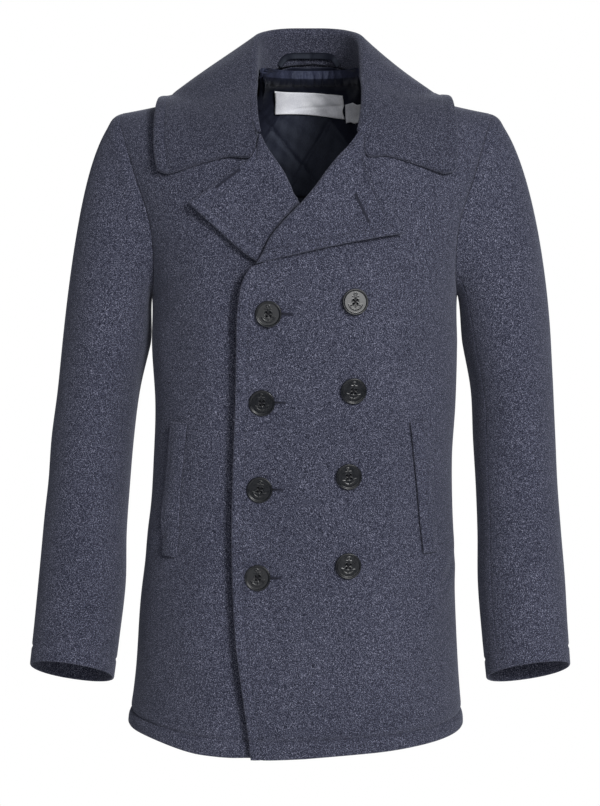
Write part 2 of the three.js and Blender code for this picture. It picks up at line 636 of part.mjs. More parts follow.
// One section of the collar at a from -1 to 1, as points on its upper side and
// on its under side, from the neck seam over the fold to the outer edge
function collarSection(a) {
  const side = a < 0 ? -1 : 1;
  const at = (rows, t) => along(rows, clamp(Math.abs(t), 0, 1)).map((v, i) => (i === 0 ? v * side : v));
  const seam = new THREE.Vector3(...at(COLLAR_SEAM, a)).add(new THREE.Vector3(COLLAR_SWAY, 0, 0));
  const fold = new THREE.Vector3(...at(COLLAR_FOLD, a)).add(new THREE.Vector3(FOLD_SWAY, 0, 0));
  const edge = new THREE.Vector3(...at(COLLAR_EDGE, a));
  const step = 0.02;
  const ahead = new THREE.Vector3(...at(COLLAR_FOLD, Math.min(Math.abs(a) + step, 1)));
  const behind = new THREE.Vector3(...at(COLLAR_FOLD, Math.max(Math.abs(a) - step, 0)));
  const run = ahead.sub(behind).normalize();
  const out = new THREE.Vector3(-run.y, run.x, 0).normalize();
  if (out.x * side < 0 || (Math.abs(a) < 0.05 && out.y < 0)) out.negate();
  if (Math.abs(a) < 0.03) out.set(0, 1, 0);
  const up = new THREE.Vector3().crossVectors(run, out).normalize();
  if (up.z < 0) up.negate();
  const core = fold.clone().addScaledVector(up, -FOLD_R);
  const chord = edge.clone().sub(fold);
  const turn = clamp(Math.atan2(chord.dot(out), chord.dot(up)), Math.PI * 0.55, Math.PI * 0.92);
  const radial = (t) => out.clone().multiplyScalar(-Math.cos(t)).addScaledVector(up, Math.sin(t));
  const top = [];
  const low = [];
  const begin = core.clone().addScaledVector(out, -FOLD_R);
  for (const t of [0, 0.5]) {
    const p = seam.clone().lerp(begin, t);
    top.push(p);
    low.push(p.clone().addScaledVector(out, FACED));
  }
  for (let k = 0; k <= FOLD_STEPS; k += 1) {
    const ray = radial(turn * k / FOLD_STEPS);
    top.push(core.clone().addScaledVector(ray, FOLD_R));
    low.push(core.clone().addScaledVector(ray, FOLD_R - FACED));
  }
  const ray = radial(turn);
  const from = core.clone().addScaledVector(ray, FOLD_R);
  const shape = smooth(Math.abs(a), 0.6, 1);
  const bulge = mix(LEAF_BULGE.right, LEAF_BULGE.left, smooth(a, -0.35, 0.35));
  for (const t of LEAF_STEPS) {
    const p = from.clone().lerp(edge, t).addScaledVector(ray, bulge * Math.sin(Math.PI * t));
    if (shape > 0) {
      const x = side * look(COLLAR_FRONT, 't', t, 'x') + look(COLLAR_FRONT, 't', t, 'sway');
      const z = look(COLLAR_FRONT, 't', t, 'z');
      const flat = new THREE.Vector3(...onPanel(x, z, false, frontLift(x, z, side) + REST + FACED).p);
      p.lerp(flat, shape);
    }
    top.push(p);
    low.push(p.clone().addScaledVector(ray, -FACED));
  }
  return { top, low, side };
}

const frontLift = (x, z, side) => (side > 0 ? topLift(x, z) : 0);

// The same section moved out where it would touch the body
function collarRow(k) {
  const { top, low, side } = collarSection(k / COLLAR_STEPS);
  const upper = [];
  const under = [];
  top.forEach((p, i) => {
    const q = low[i];
    const gap = REST + (q.y < 0 ? frontLift(q.x, q.z, side) : 0);
    const clear = new THREE.Vector3(...clearOf(q.toArray(), gap));
    upper.push(p.clone().add(clear).sub(q).toArray());
    under.push(clear.toArray());
  });
  return { upper, under };
}

function collar() {
  const steps = Array.from({ length: 2 * COLLAR_STEPS + 1 }, (_, k) => collarRow(k - COLLAR_STEPS));
  add('collar', shell(steps.map((r) => r.upper), steps.map((r) => r.under)), MELTON);
}

// Pocket welts: crowned strips on the fronts
function welts() {
  for (const w of WELTS) {
    const outer = [];
    const inside = [];
    for (let r = 0; r <= WELT_ROWS; r += 1) {
      const t = r / WELT_ROWS;
      const end = Math.min(t, 1 - t) === 0 ? 0.5 : 1;
      const row = [];
      const rowIn = [];
      for (const [across, high] of WELT_SECTION) {
        const x = mix(w.top[0], w.foot[0], t) + across * w.wide / 2;
        const z = mix(w.top[1], w.foot[1], t);
        const lift = w.foot[0] < 0 ? underLift(x) : topLift(x, z);
        row.push(onPanel(x, z, false, lift + WELT_GAP + high * WELT_HIGH * end).p);
        rowIn.push(onPanel(x, z, false, lift + WELT_GAP).p);
      }
      outer.push(row);
      inside.push(rowIn);
    }
    add(w.name, shell(outer, inside), MELTON);
  }
}

// Plane on which a disc of a radius lies on the top front: a point and a normal
function seat(x, z, radius) {
  const cloth = (a, b) => new THREE.Vector3(...onPanel(a, b, false, topLift(a, b)).p);
  const across = cloth(x + radius, z).sub(cloth(x - radius, z));
  const down = cloth(x, z - radius).sub(cloth(x, z + radius));
  const n = new THREE.Vector3().crossVectors(down, across).normalize();
  const centre = cloth(x, z);
  let high = 0;
  for (let k = 0; k < BUTTON_SIDES; k += 1) {
    const t = (k / BUTTON_SIDES) * 2 * Math.PI;
    high = Math.max(high, cloth(x + radius * Math.cos(t), z + radius * Math.sin(t)).sub(centre).dot(n));
  }
  return { p: moved(centre.toArray(), n, high), n };
}

// Buttons: a turned disc with a raised rim and a dished face
function buttons() {
  const { radius, thick, rim, dish } = BUTTON;
  const profile = [
    [0, 0], [radius - 2, 0], [radius, 1.4], [radius, thick - 1.2], [radius - 1.3, thick],
    [radius - rim, thick - 0.3], [radius - rim - 1, thick - dish], [0, thick - dish],
  ].map(([r, h]) => new THREE.Vector2(r, h));
  for (const b of BUTTONS) {
    const geometry = new THREE.LatheGeometry(profile, BUTTON_SIDES);
    geometry.deleteAttribute('uv');
    geometry.deleteAttribute('normal');
    const merged = mergeVertices(geometry, 0.001);
    merged.computeVertexNormals();
    const mesh = add(b.name, merged, HORN);
    const { p, n } = seat(b.x, b.z, radius);
    mesh.position.set(...moved(p, n, BUTTON_GAP));
    mesh.quaternion.setFromUnitVectors(new THREE.Vector3(0, 1, 0), n);
  }
}

// Lining of the back, as far down as the open neck shows it: the inner points
// of the back panels moved in
function liningGrid(depth) {
  return panelHeights(true).filter((z) => z > LINING_FOOT).map((z) => {
    const row = [];
    for (let c = -LINING_COLUMNS; c <= LINING_COLUMNS; c += 1) {
      const share = Math.sin((Math.abs(c) / BACK_COLUMNS) * Math.PI / 2);
      const { p, n } = onPanel(mix(sway(z), panelEnd(z, c < 0 ? -1 : 1, true), share), z, true, 0);
      row.push(moved(p, n, -WALL - depth));
    }
    return row;
  });
}

const liningTurned = (c) => c < LINING_COLUMNS;

function lining() {
  add('lining_back', shell(liningGrid(LINING_GAP), liningGrid(LINING_GAP + LINING_WALL), liningTurned), SATIN);
}

// Depth at x and z of a grid of points, found on the face of it that holds them
function depthOn(grid, x, z) {
  for (let r = 0; r < grid.length - 1; r += 1) {
    for (let c = 0; c < grid[r].length - 1; c += 1) {
      const cell = [grid[r][c], grid[r][c + 1], grid[r + 1][c + 1], grid[r + 1][c]];
      for (const [a, b, d] of split(cell, liningTurned(c))) {
        const area = (b[0] - a[0]) * (d[2] - a[2]) - (d[0] - a[0]) * (b[2] - a[2]);
        const u = ((x - a[0]) * (d[2] - a[2]) - (d[0] - a[0]) * (z - a[2])) / area;
        const v = ((b[0] - a[0]) * (z - a[2]) - (x - a[0]) * (b[2] - a[2])) / area;
        if (Math.min(u, v, 1 - u - v) > -0.001) return a[1] + u * (b[1] - a[1]) + v * (d[1] - a[1]);
      }
    }
  }
  return grid[0][0][1];
}

// Sewn labels, bare, lying on the lining
function labels() {
  const grid = liningGrid(LINING_GAP + LINING_WALL);
  for (const l of LABELS) {
    const outer = [];
    const inside = [];
    for (let r = 0; r <= l.rows; r += 1) {
      const row = [];
      const rowIn = [];
      for (let c = 0; c <= l.columns; c += 1) {
        const left = mix(l.top[0], l.foot[0], r / l.rows);
        const right = mix(l.top[1], l.foot[1], r / l.rows);
        const x = mix(left, right, c / l.columns);
        const z = mix(l.z[0], l.z[1], r / l.rows) - l.slant * (x - left);
        const y = depthOn(grid, x, z) - LABEL_GAP;
        row.push([x, y, z]);
        rowIn.push([x, y - LABEL_WALL, z]);
      }
      outer.push(row);
      inside.push(rowIn);
    }
    add(l.name, shell(outer, inside), TAPE);
  }
}

// Inner face of the collar stand at x and z
function standDepth(x, z) {
  let k = -STAND_STEPS;
  while (k < STAND_STEPS - 1 && collarRow(k + 1).upper[0][0] < x) k += 1;
  const from = collarRow(k).upper;
  const to = collarRow(k + 1).upper;
  const t = (x - from[0][0]) / (to[0][0] - from[0][0]);
  const foot = [0, 1, 2].map((i) => mix(from[0][i], to[0][i], t));
  const head = [0, 1, 2].map((i) => mix(from[1][i], to[1][i], t));
  return mix(foot[1], head[1], (z - foot[2]) / (head[2] - foot[2]));
}

// Hanger loop: a band on the inside of the collar stand, both feet at the seam
function hangerLoop() {
  const outer = [];
  const inside = [];
  LOOP_PATH.forEach((here, k) => {
    const next = LOOP_PATH[Math.min(k + 1, LOOP_PATH.length - 1)];
    const last = LOOP_PATH[Math.max(k - 1, 0)];
    const run = Math.hypot(next.x - last.x, next.z - last.z);
    const row = [];
    const rowIn = [];
    for (const half of [-0.5, 0.5]) {
      const x = here.x - half * LOOP_BAND * (next.z - last.z) / run;
      const z = here.z + half * LOOP_BAND * (next.x - last.x) / run;
      const y = standDepth(x, z) - LOOP_GAP;
      row.push([x, y - LOOP_WALL, z]);
      rowIn.push([x, y, z]);
    }
    outer.push(row);
    inside.push(rowIn);
  });
  add('hanger_loop', shell(outer, inside), SATIN);
}

fronts();
backs();
sleeves();
lapels();
collar();
welts();
buttons();
lining();
labels();
hangerLoop();

export default group;
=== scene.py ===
import math

import bpy
import numpy as np
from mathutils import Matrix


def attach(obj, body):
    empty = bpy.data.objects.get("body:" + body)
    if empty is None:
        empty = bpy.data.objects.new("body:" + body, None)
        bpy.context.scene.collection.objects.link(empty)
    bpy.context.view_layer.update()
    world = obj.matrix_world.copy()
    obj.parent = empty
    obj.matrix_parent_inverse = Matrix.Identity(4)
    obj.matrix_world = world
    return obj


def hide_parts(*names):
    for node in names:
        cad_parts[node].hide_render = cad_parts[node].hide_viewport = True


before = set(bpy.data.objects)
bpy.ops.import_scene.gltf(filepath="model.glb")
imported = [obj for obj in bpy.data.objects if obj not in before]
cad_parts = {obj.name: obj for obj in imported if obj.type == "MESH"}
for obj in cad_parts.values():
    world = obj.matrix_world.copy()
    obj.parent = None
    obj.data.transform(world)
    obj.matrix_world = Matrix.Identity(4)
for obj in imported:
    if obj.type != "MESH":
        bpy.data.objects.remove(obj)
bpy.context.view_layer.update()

# Looks of a wool pea coat. Lengths are in millimetres until a mesh is made.
# +Z is up, the front faces -Y, and +X is the wearer's left.
MM = 0.001
PHOTO = (600, 806)
FOCAL = 2000               # focal length in pixels of the photograph
SENSOR = 36                # width of the camera's sensor
CAMERA_AT = (-5.4, -2382, -93)
CAMERA_DOWN = 7            # degrees below level
FLOOR = [(-2, -2, -1.3), (2, -2, -1.3), (2, 1, -1.3), (-2, 1, -1.3)]     # in metres

AMBIENT = 0.15             # light from all round, as a share of white
LAMPS_AIM = (0, 0, -0.4)   # in metres
# Lamps: name, watts, diameter and place in metres
LAMPS = [
    ("key", 69, 0.8, (1.2, -2.6, 0.75)), ("front", 19, 1.9, (0.03, -2.75, 0.4)),
    ("back", 34, 1.6, (0.4, 2.6, 1.2)),
]

WALL = 2.6                 # one layer of cloth with its lining
FACED = 4.6                # two layers, turned and pressed
LAP = 0.12                 # how far sewn edges run past each other
REST = 1.5                 # between the collar or a lapel and the cloth under it
HEM_Z = -780
UNDERARM_Z = -256
TIP_X = 216                # shoulder tip: distance from the middle, and drop
TIP_DROP = 41.5
SLOPE = (1.35, 0.35)       # the shoulder's slope at the neck, and how it eases off
NECK_X = 62
NECK_RISE = 17
NECK_HIGH = 57             # height to which the back's form runs on inside the collar
YOKE = 120                 # height over which the chest rounds to the shoulder, and the back
YOKE_BACK = 100
PLAN = 2.4                 # squareness of the body's plan
TURN = 40                  # depth over which front and back folds fade at the sides

# Sections of the body: height, sway, half width, front and back depth
BODY = [
    (30, 9, 262, 90, 112), (0, 8, 256, 96, 112), (-46, 1, 244, 108, 112), (-80, 0, 230, 114, 111),
    (-118, 0, 216, 119, 110), (-155, 0, 202, 122, 108), (-200, 0, 190, 126, 104),
    (-256, 0, 181.5, 127, 98), (-316, 0, 182, 125, 92), (-385, 1, 179.5, 121, 87),
    (-450, -2, 179, 118, 86), (-540, -4, 183, 121, 96), (-620, -8, 190, 129, 110),
    (-710, -9, 196, 137, 120), (-790, -11, 205, 142, 125),
]
# The top front's edge, the under front's edge, and the lines on which the lapels roll: z, x
EDGE = [
    (-212, -57), (-226, -66), (-244, -71.5), (-278, -75.5), (-366, -78), (-470, -82), (-550, -83),
    (-642, -79), (-700, -72), (-790, -61),
]
UNDER_EDGE = 74
ROLL_TOP = [
    (-212, -54), (-203, -49), (-182, -40), (-164, -27), (-142, -8), (-118, 10), (-107, 18),
    (-93, 30), (-81, 42), (-62, 56), (-50, 63), (-29, 69), (0, 71),
]
ROLL_UNDER = [
    (-212, 56), (-182, 34), (-160, 16), (-135, -5), (-126, -9), (-108, -18), (-94, -28),
    (-81, -37), (-62, -46), (-50, -51), (-28, -53), (0, -54),
]
# Corners of the lapels at x and z, and how far their lower edges sag
LAPEL_TOP = dict(side=1, gorge=(63.3, -68), notch=(65.6, -93.8), tip=(110, -178), toe=(-54, -212), sag=-2)
LAPEL_UNDER = dict(side=-1, gorge=(-49, -68), notch=(-58, -93.8), tip=(-127, -143), toe=(-52, -211), sag=7)
BREAK_Z = -212             # where the fronts start to turn back
UNDER_BREAK = 48           # height over which the under front does so
ROLL_BACK = 7              # how far a front runs on under its lapel's roll
TUCK = 8                   # how far the under lapel runs under the top front

# Collar lines from the centre back to the gorge: x, y, z
COLLAR_SEAM = [
    (0, 85, 19), (24, 80, 17), (46, 58, 11), (58, 26, 6), (61, -8, 0), (61, -44, -18), (59, -76, -42),
    (57, -100, -64),
]
COLLAR_FOLD = [
    (0, 72, 62), (26, 69, 61.5), (48, 54, 58), (62, 28, 50), (65, -6, 30), (65, -42, -2),
    (63, -74, -35), (59, -103, -62),
]
COLLAR_EDGE = [
    (0, 122, -44), (52, 118, -43), (104, 96, -40), (150, 53, -30), (168, 8, -27), (169.5, -34, -46),
    (170, -70, -80), (166, -96, -110),
]
COLLAR_SWAY = 7            # how far the seam and the fold hang to the wearer's left
FOLD_SWAY = 4.5
# The leaf's front edge: share of its width, x, z and sway
COLLAR_FRONT = [
    (0, 59, -62, 7.5), (0.22, 64, -91, 4), (0.45, 91, -92.5, 3), (0.7, 124, -101, 2.5),
    (0.9, 154, -111, 2), (1, 166, -108, 2),
]
COLLAR_HALF = 300.0        # half the collar's length, and the width of its leaf
LEAF_WIDE = 108.0
FOLD_R = 6.5
LEAF_BULGE = (6, 2)        # how far the leaf bulges on the right and on the left

ARM_Z = -(TIP_DROP - UNDERARM_Z) / 2
ARM_HIGH = (-TIP_DROP - UNDERARM_Z) / 2
ARM_Y = -2
ARM_FRONT = 62             # depth of the armhole before and behind the shoulder seam
ARM_BACK = 64
SLEEVE_PLAN = 2.15         # squareness of a sleeve's section
CUFF_RISE = 0.14
CUFF = 8                   # the cuff's row, counted from the armhole
CUFF_STEP = 53             # length of a row at the cuff
CUFF_STITCH = 24
LINED_SLEEVE = 7.35        # the row at which a sleeve's lining ends
FRONT_FOLD = 2.2           # how much thicker the top front's turned edge is
FORE_ANGLE = 7 / 9 * math.pi
HIND_ANGLE = -6 / 9 * math.pi
SLEEVE_GAP = 0.0006

# Sleeve sections: right and left centre, y, half width, half depth, tilt, height
SLEEVE = [
    (0, 238, 243, 12, 52.5, 72, 0.02, -318), (1, 247.4, 249.5, 9, 49, 67, 0.08, -372),
    (2, 254.5, 252, 1, 49, 63, 0.17, -428), (3, 258.5, 254.5, -10, 48.5, 60, 0.26, -484),
    (4, 262.8, 257, -22, 49.5, 57, 0.34, -538), (5, 265.3, 258.8, -36, 51.5, 54, 0.4, -594),
    (6, 270.7, 262, -50, 50.5, 50, 0.45, -650), (7, 276.5, 266, -60, 49.5, 47, 0.47, -700),
]

# Folds and creases of the body: x, z, half length, half width, height, lean
FRONT_FOLDS = [
    (-168, -520, 60, 22, 5, 0.5), (-150, -310, 80, 26, -4, -0.25), (152, -310, 80, 26, -4, 0.25),
    (168, -580, 50, 20, 3.5, 0.4), (-104, -690, 110, 34, 3.5, -0.12), (118, -690, 110, 34, 3.5, 0.12),
    (-160, -236, 26, 5, -1.6, 1.1), (-148, -262, 34, 7, 1.3, 0.8), (163, -240, 24, 5, -1.6, -1.0),
    (150, -270, 36, 8, 1.3, -0.8), (-120, -222, 40, 9, 0.9, 1.6), (128, -214, 34, 8, 0.9, -1.5),
    (-166, -540, 24, 6, -2.6, 0.6), (-160, -566, 26, 7, 1.6, 0.6), (166, -584, 26, 6, -3.2, 0.5),
    (155, -602, 32, 9, 1.8, 0.5), (-110, -470, 70, 16, 1.0, 0.15), (96, -470, 80, 18, 0.9, -0.1),
    (-34, -520, 90, 20, -0.8, 0.06), (18, -640, 110, 26, 0.9, -0.05), (-142, -640, 60, 14, 1.3, -0.2),
    (74, -700, 60, 14, -0.9, 0.1), (150, -700, 50, 12, -1.1, 0.16), (-86, -330, 60, 15, 0.8, -0.3),
]
BACK_FOLDS = [
    (-90, -420, 120, 30, 4, 0.2), (84, -430, 120, 30, 4, -0.2), (6, -660, 130, 40, -4, 0),
    (-64, -96, 60, 14, 1.4, 0.7), (66, -104, 64, 13, 1.5, -0.75), (-140, -232, 44, 8, -1.7, -0.9),
    (143, -240, 40, 8, -1.6, 0.95), (-122, -268, 52, 12, 1.4, -0.7), (120, -280, 56, 13, 1.5, 0.6),
    (-30, -320, 90, 20, 1.2, 0.1), (38, -560, 90, 17, 1.3, -0.08), (-130, -560, 70, 14, 1.4, 0.2),
    (136, -610, 60, 13, -1.3, -0.16), (-60, -700, 70, 18, 1.2, -0.06), (84, -712, 60, 16, -1.0, 0.1),
]
# Folds of a sleeve: s, angle, half length, half width, height, lean
SLEEVE_FOLDS = [
    (2.4, 2.2, 0.35, 0.5, -3, 0.8), (3.4, 2.0, 0.4, 0.5, -3, -0.7),
    (4.6, 1.2, 0.5, 0.45, 2, 0.5), (2.9, -1.9, 0.6, 0.6, 3, 0.3),
]
SLEEVE_CREASES = {
    -1: [
        (0.86, 1.95, 0.10, 0.28, -1.8, 1.6), (1.1, 1.7, 0.16, 0.3, 1.2, 1.5),
        (2.05, 1.7, 0.14, 0.42, 1.1, 1.3), (2.9, 1.55, 0.16, 0.45, 1.2, -1.1),
        (3.15, 2.3, 0.10, 0.34, -1.5, -1.2), (3.75, 1.5, 0.22, 0.4, 1.0, 0.8),
        (1.6, 0.6, 0.5, 0.22, 0.9, 0.15), (4.4, 0.4, 0.6, 0.2, 0.9, -0.1),
        (2.7, -1.4, 0.16, 0.4, 1.6, 1.0), (3.2, -1.6, 0.13, 0.38, -1.4, -1.1),
        (5.6, 1.4, 0.3, 0.3, 0.8, 0.5), (6.7, 2.0, 0.35, 0.3, 0.9, -0.3),
    ],
    1: [
        (0.84, 1.9, 0.10, 0.3, -1.7, 1.5), (1.15, 1.6, 0.15, 0.3, 1.2, 1.7),
        (2.25, 1.8, 0.13, 0.4, 1.2, 1.1), (2.75, 2.2, 0.1, 0.36, -1.5, 1.3),
        (3.3, 1.6, 0.15, 0.44, 1.2, -1.0), (4.1, 1.9, 0.2, 0.36, -1.0, -0.8),
        (1.7, 0.5, 0.5, 0.2, 0.9, -0.12), (4.9, 0.7, 0.6, 0.24, 0.9, 0.1),
        (2.9, -1.5, 0.15, 0.42, 1.6, -1.0), (3.4, -1.3, 0.14, 0.36, -1.3, 1.2),
        (5.9, 1.2, 0.3, 0.3, 0.8, -0.5), (6.6, 1.8, 0.3, 0.3, 0.8, 0.4),
    ],
}
# Creases of the collar's leaf: a, t, half sizes along and across, height
COLLAR_CREASES = [
    (-0.62, 0.3, 0.05, 0.22, 1.0), (-0.3, 0.5, 0.07, 0.3, -0.9), (0.24, 0.45, 0.06, 0.3, 1.0),
    (0.56, 0.35, 0.06, 0.25, -0.9), (0.8, 0.2, 0.06, 0.2, 0.9), (-0.84, 0.24, 0.05, 0.2, 0.8),
    (0.02, 0.4, 0.1, 0.35, 1.2),
]
ROPE = (2.2, 10, 9)        # sleeve head: height, distance from the armhole, breadth

BUTTON_R = 15
BUTTON_FACE = 3.05
# From the button's face over its rim to its back: radius, height
BUTTON_RIM = [
    (12.6, 3.2), (13.1, 3.6), (13.6, 3.9), (14.1, 3.95), (14.5, 3.8), (14.8, 3.5), (15, 3.0), (15, 1.6),
    (14.6, 0.8), (13.6, 0.25), (12, 0),
]
HOLES = [(2.1, 2.1), (-2.1, 2.1), (-2.1, -2.1), (2.1, -2.1)]
TOP_TILT = 0.125           # how far the top two buttons lean back
# The straight ribs of the anchor on a button: their ends at x and y
ANCHOR = [
    ((0, 7.6), (0, 3.6)), ((0, -3.8), (0, -8.6)), ((-3.2, 6.2), (3.2, 6.2)), ((-7.6, -3.2), (-5.0, -3.8)),
    ((7.6, -3.2), (5.0, -3.8)),
]
ANCHOR_RIB = 1.15          # breadth and height of its ribs
ANCHOR_HIGH = 0.26
# Buttons: name, x, z
BUTTONS = [
    ("button_r1", -40.5, -268), ("button_r2", -48.5, -370), ("button_r3", -51.5, -471),
    ("button_r4", -54, -573), ("button_l1", 56, -255), ("button_l2", 55, -356.5),
    ("button_l3", 50, -456), ("button_l4", 49.5, -559.5),
]
# Pocket welts: name, top end, foot and width
WELTS = [
    ("pocket_welt_right", (-144.5, -398), (-154.5, -556), 19),
    ("pocket_welt_left", (130, -395), (144.5, -551), 19),
]
WELT_HIGH = 4.4
WELT_GAP = 1.6             # under a welt
LINING_FOOT = -146         # heights between which the back neck lining lies
LINING_TOP = 19
NECK_LINE = ((0, 24, 46, 58, 61), (85, 80, 58, 26, -8))    # distances from the middle, and y there
LINING_REACH = 118         # from the middle to each side
LINING_BAND = 17           # height of the gathered band at its top
LINING_IN = WALL + 2.0     # from the back's outer face to the lining
FORWARD = np.array([0, -1.0, 0])
# Labels: name, x of the top's ends and of the foot's, z of top and foot, slant
LABELS = [
    ("neck_label", (-42, 53), (-40, 54), (-8, -38), 0.07),
    ("care_label", (56, 76), (56, 68), (-26, -49), -0.22),
]
# Gathers of the lining's band: x, half width, depth, lean
GATHERS = [
    (-46, 2.2, 1.8, 0.15), (-33, 1.6, 1.2, -0.2), (-18, 2.4, 2.0, 0.1), (-8, 1.4, 0.9, 0.25),
    (0, 2.0, 1.6, -0.1), (11, 1.5, 1.3, 0.2), (22, 2.3, 2.0, 0.05), (30, 1.4, 1.1, -0.3),
    (39, 2.0, 1.7, 0.15), (49, 1.7, 1.9, 0.3), (62, 2.2, 1.6, -0.1),
]
LABEL_OVER = 4.4           # how much further in a label's face lies
# The hanger loop: x, z
LOOP_PATH = [
    (-31, 16.5), (-27, 22), (-21.5, 27), (-12, 28.8), (6, 29), (22, 28.8), (33, 27), (38, 22), (42, 16.5),
]
LOOP_BAND = 8
STITCH_IN = 12             # from an edge of the front, collar or lapels to its topstitching
HEM_STITCH = 20
STITCH_THICK = 0.5
GROOVE = 1.7               # depth to which a row of stitches pulls the cloth in
HOLE_LIP = 0.8             # from the middle of a buttonhole to its stitches
NEAR_EDGE = (0, 0.35, 0.9, 1.7, 2.8, 4.4)                  # points beside an edge
NEAR_STITCH = (-2.2, -1.1, -0.5, 0, 0.5, 1.1, 2.2)         # points beside a row of stitches


def smooth(v, low, high):
    t = np.clip((v - low) / (high - low), 0, 1)
    return t * t * (3 - 2 * t)


def bump(v):
    return np.exp(-v * v)


def curve(rows, column):
    """A smooth curve through one column of a table, over its first column."""
    table = np.array([(r[0], r[column]) for r in rows], float)
    if table[0, 0] > table[-1, 0]:
        table = table[::-1]
    k, v = table.T
    m = np.empty_like(v)
    m[1:-1] = (v[2:] - v[:-2]) / (k[2:] - k[:-2])
    m[0] = (v[1] - v[0]) / (k[1] - k[0])
    m[-1] = (v[-1] - v[-2]) / (k[-1] - k[-2])

    def at(x):
        x = np.clip(x, k[0], k[-1])
        i = np.clip(np.searchsorted(k, x, side="right") - 1, 0, len(k) - 2)
        h = k[i + 1] - k[i]
        t = (x - k[i]) / h
        t2 = t * t
        t3 = t2 * t
        start = v[i] * (2 * t3 - 3 * t2 + 1) + h * m[i] * (t3 - 2 * t2 + t)
        return start + v[i + 1] * (3 * t2 - 2 * t3) + h * m[i + 1] * (t3 - t2)
    return at


def line(points):
    """A smooth line through points, over 0 to 1."""
    rows = [(i / (len(points) - 1), *p) for i, p in enumerate(points)]
    parts = [curve(rows, c + 1) for c in range(len(points[0]))]
    return lambda t: np.stack([part(t) for part in parts], -1)


def unit(v):
    return v / np.maximum(np.linalg.norm(v, axis=-1, keepdims=True), 1e-9)


def dot(a, b):
    return np.sum(a * b, axis=-1, keepdims=True)


sway = curve(BODY, 1)
half_width = curve(BODY, 2)
front_depth = curve(BODY, 3)
back_depth = curve(BODY, 4)
edge_x = curve(EDGE, 1)
roll_top = curve(ROLL_TOP, 1)
roll_under = curve(ROLL_UNDER, 1)


def shoulder_height(x, back):
    far = np.abs(x)
    t = (far - NECK_X) / (TIP_X - NECK_X)
    over = -TIP_DROP * (SLOPE[0] * t - SLOPE[1] * t * t)
    neck = NECK_HIGH * (1 - np.minimum(far / NECK_X, 1) ** 1.75)
    return np.where(np.logical_and(back, far < NECK_X), neck, over)


def shoulder_reach(z):
    root = np.sqrt(np.maximum(SLOPE[0] ** 2 + 4 * SLOPE[1] * z / TIP_DROP, 0))
    return NECK_X + (TIP_X - NECK_X) * (SLOPE[0] - root) / (2 * SLOPE[1])


def yoke(back):
    return np.where(back, YOKE_BACK, YOKE)


def depth_at(x, z, back):
    off = x - sway(z)
    across = np.clip(np.abs(off) / half_width(z), 0, 1)
    full = np.where(back, back_depth(z), front_depth(z))
    drop = np.clip((shoulder_height(off, back) - z) / yoke(back), 0, 1)
    return full * (1 - across ** PLAN) ** (1 / PLAN) * np.sqrt(1 - (1 - drop) ** 2)


def field(p):
    x, y, z = p[..., 0], p[..., 1], p[..., 2]
    back = y > 0
    full = np.where(back, back_depth(z), front_depth(z))
    off = np.abs(x - sway(z))
    across = np.minimum(off / half_width(z), 0.9999)
    low = (off / half_width(z)) ** PLAN + np.abs(y / full) ** PLAN - 1
    ring = full * (1 - across ** PLAN) ** (1 / PLAN)
    drop = (shoulder_height(off, back) - z) / yoke(back)
    high = (y / ring) ** 2 + np.maximum(0, 1 - drop) ** 2 - 1
    return np.where(z < UNDERARM_Z + 70, low, high)


def outward(p):
    h = 0.5
    n = np.stack([field(p + h * e) - field(p - h * e) for e in np.eye(3)], -1)
    size = np.linalg.norm(n, axis=-1)
    return n / np.maximum(size, 1e-12)[..., None], size / (2 * h)


def relief(x, y, z):
    """Folds and creases of the body."""
    total = np.zeros(np.broadcast(x, y, z).shape)
    for folds, side in ((FRONT_FOLDS, smooth(-y, 0, TURN)), (BACK_FOLDS, smooth(y, 0, TURN))):
        for fx, fz, long, wide, high, lean in folds:
            dz = z - fz
            total = total + side * high * bump(dz / long) * bump((x - fx - lean * dz) / wide)
    for _, bx, bz in BUTTONS:
        near = bump((x - bx) / 20) * bump((z - bz) / 18)
        pull = bump((z - bz) / 4.5) * bump((x - bx - 19) / 12) * (1.9 if bx < 0 else 0.3)
        total = total - smooth(-y, 0, TURN) * (1.5 * near + pull)
    return total


def on_panel(x, z, back, up):
    x, z = np.broadcast_arrays(np.asarray(x, float), np.asarray(z, float))
    y = np.where(back, 1, -1) * depth_at(x, z, back)
    p = np.stack([x, y, z], -1)
    n, _ = outward(p)
    rise = np.broadcast_to(up + relief(x, y, z), x.shape)
    return p + n * rise[..., None], n


def clear_of(p, by):
    """Pushes points out until they clear the body by a distance."""
    q = p.copy()
    for _ in range(6):
        n, rate = outward(q)
        lack = by - field(q) / np.maximum(rate, 1e-9)
        q = q + n * np.maximum(lack, 0)[..., None]
    return q


def top_lift(x, z):
    stack = 5 * (1 - smooth(x, -5, 62)) * smooth(z, -330, -232)
    return 2.6 * (1 - smooth(x, 70, 130)) + stack


def under_lift(x, z):
    """The under front sinks in beside the edge that laps over it."""
    dip = bump((x - edge_x(z) + 2) / 19) * smooth(-z, -BREAK_Z - 6, 30 - BREAK_Z)
    return -2.2 * smooth(x, -130, -86) - 7.5 * dip


def armhole(angle, side):
    back = np.sin(angle) < 0
    deep = np.where(back, ARM_BACK, ARM_FRONT)
    y = -deep * np.sin(angle) * (1 - 0.1 * np.cos(angle)) + ARM_Y * np.sin(angle) ** 2
    z = ARM_Z + ARM_HIGH * np.cos(angle)
    near = np.full(np.shape(z), 100.0)
    far = np.where(z < -TIP_DROP, half_width(z), TIP_X)
    for _ in range(40):
        x = (near + far) / 2
        inside = depth_at(sway(z) + side * x, z, back) > np.abs(y)
        near = np.where(inside, x, near)
        far = np.where(inside, far, x)
    return np.stack([sway(z) + side * near, y, z], -1)


def armhole_edge(angle, side):
    h = 0.03
    run = armhole(angle + h, side) - armhole(angle - h, side)
    return unit(np.cross(outward(armhole(angle, side))[0], run) * side)


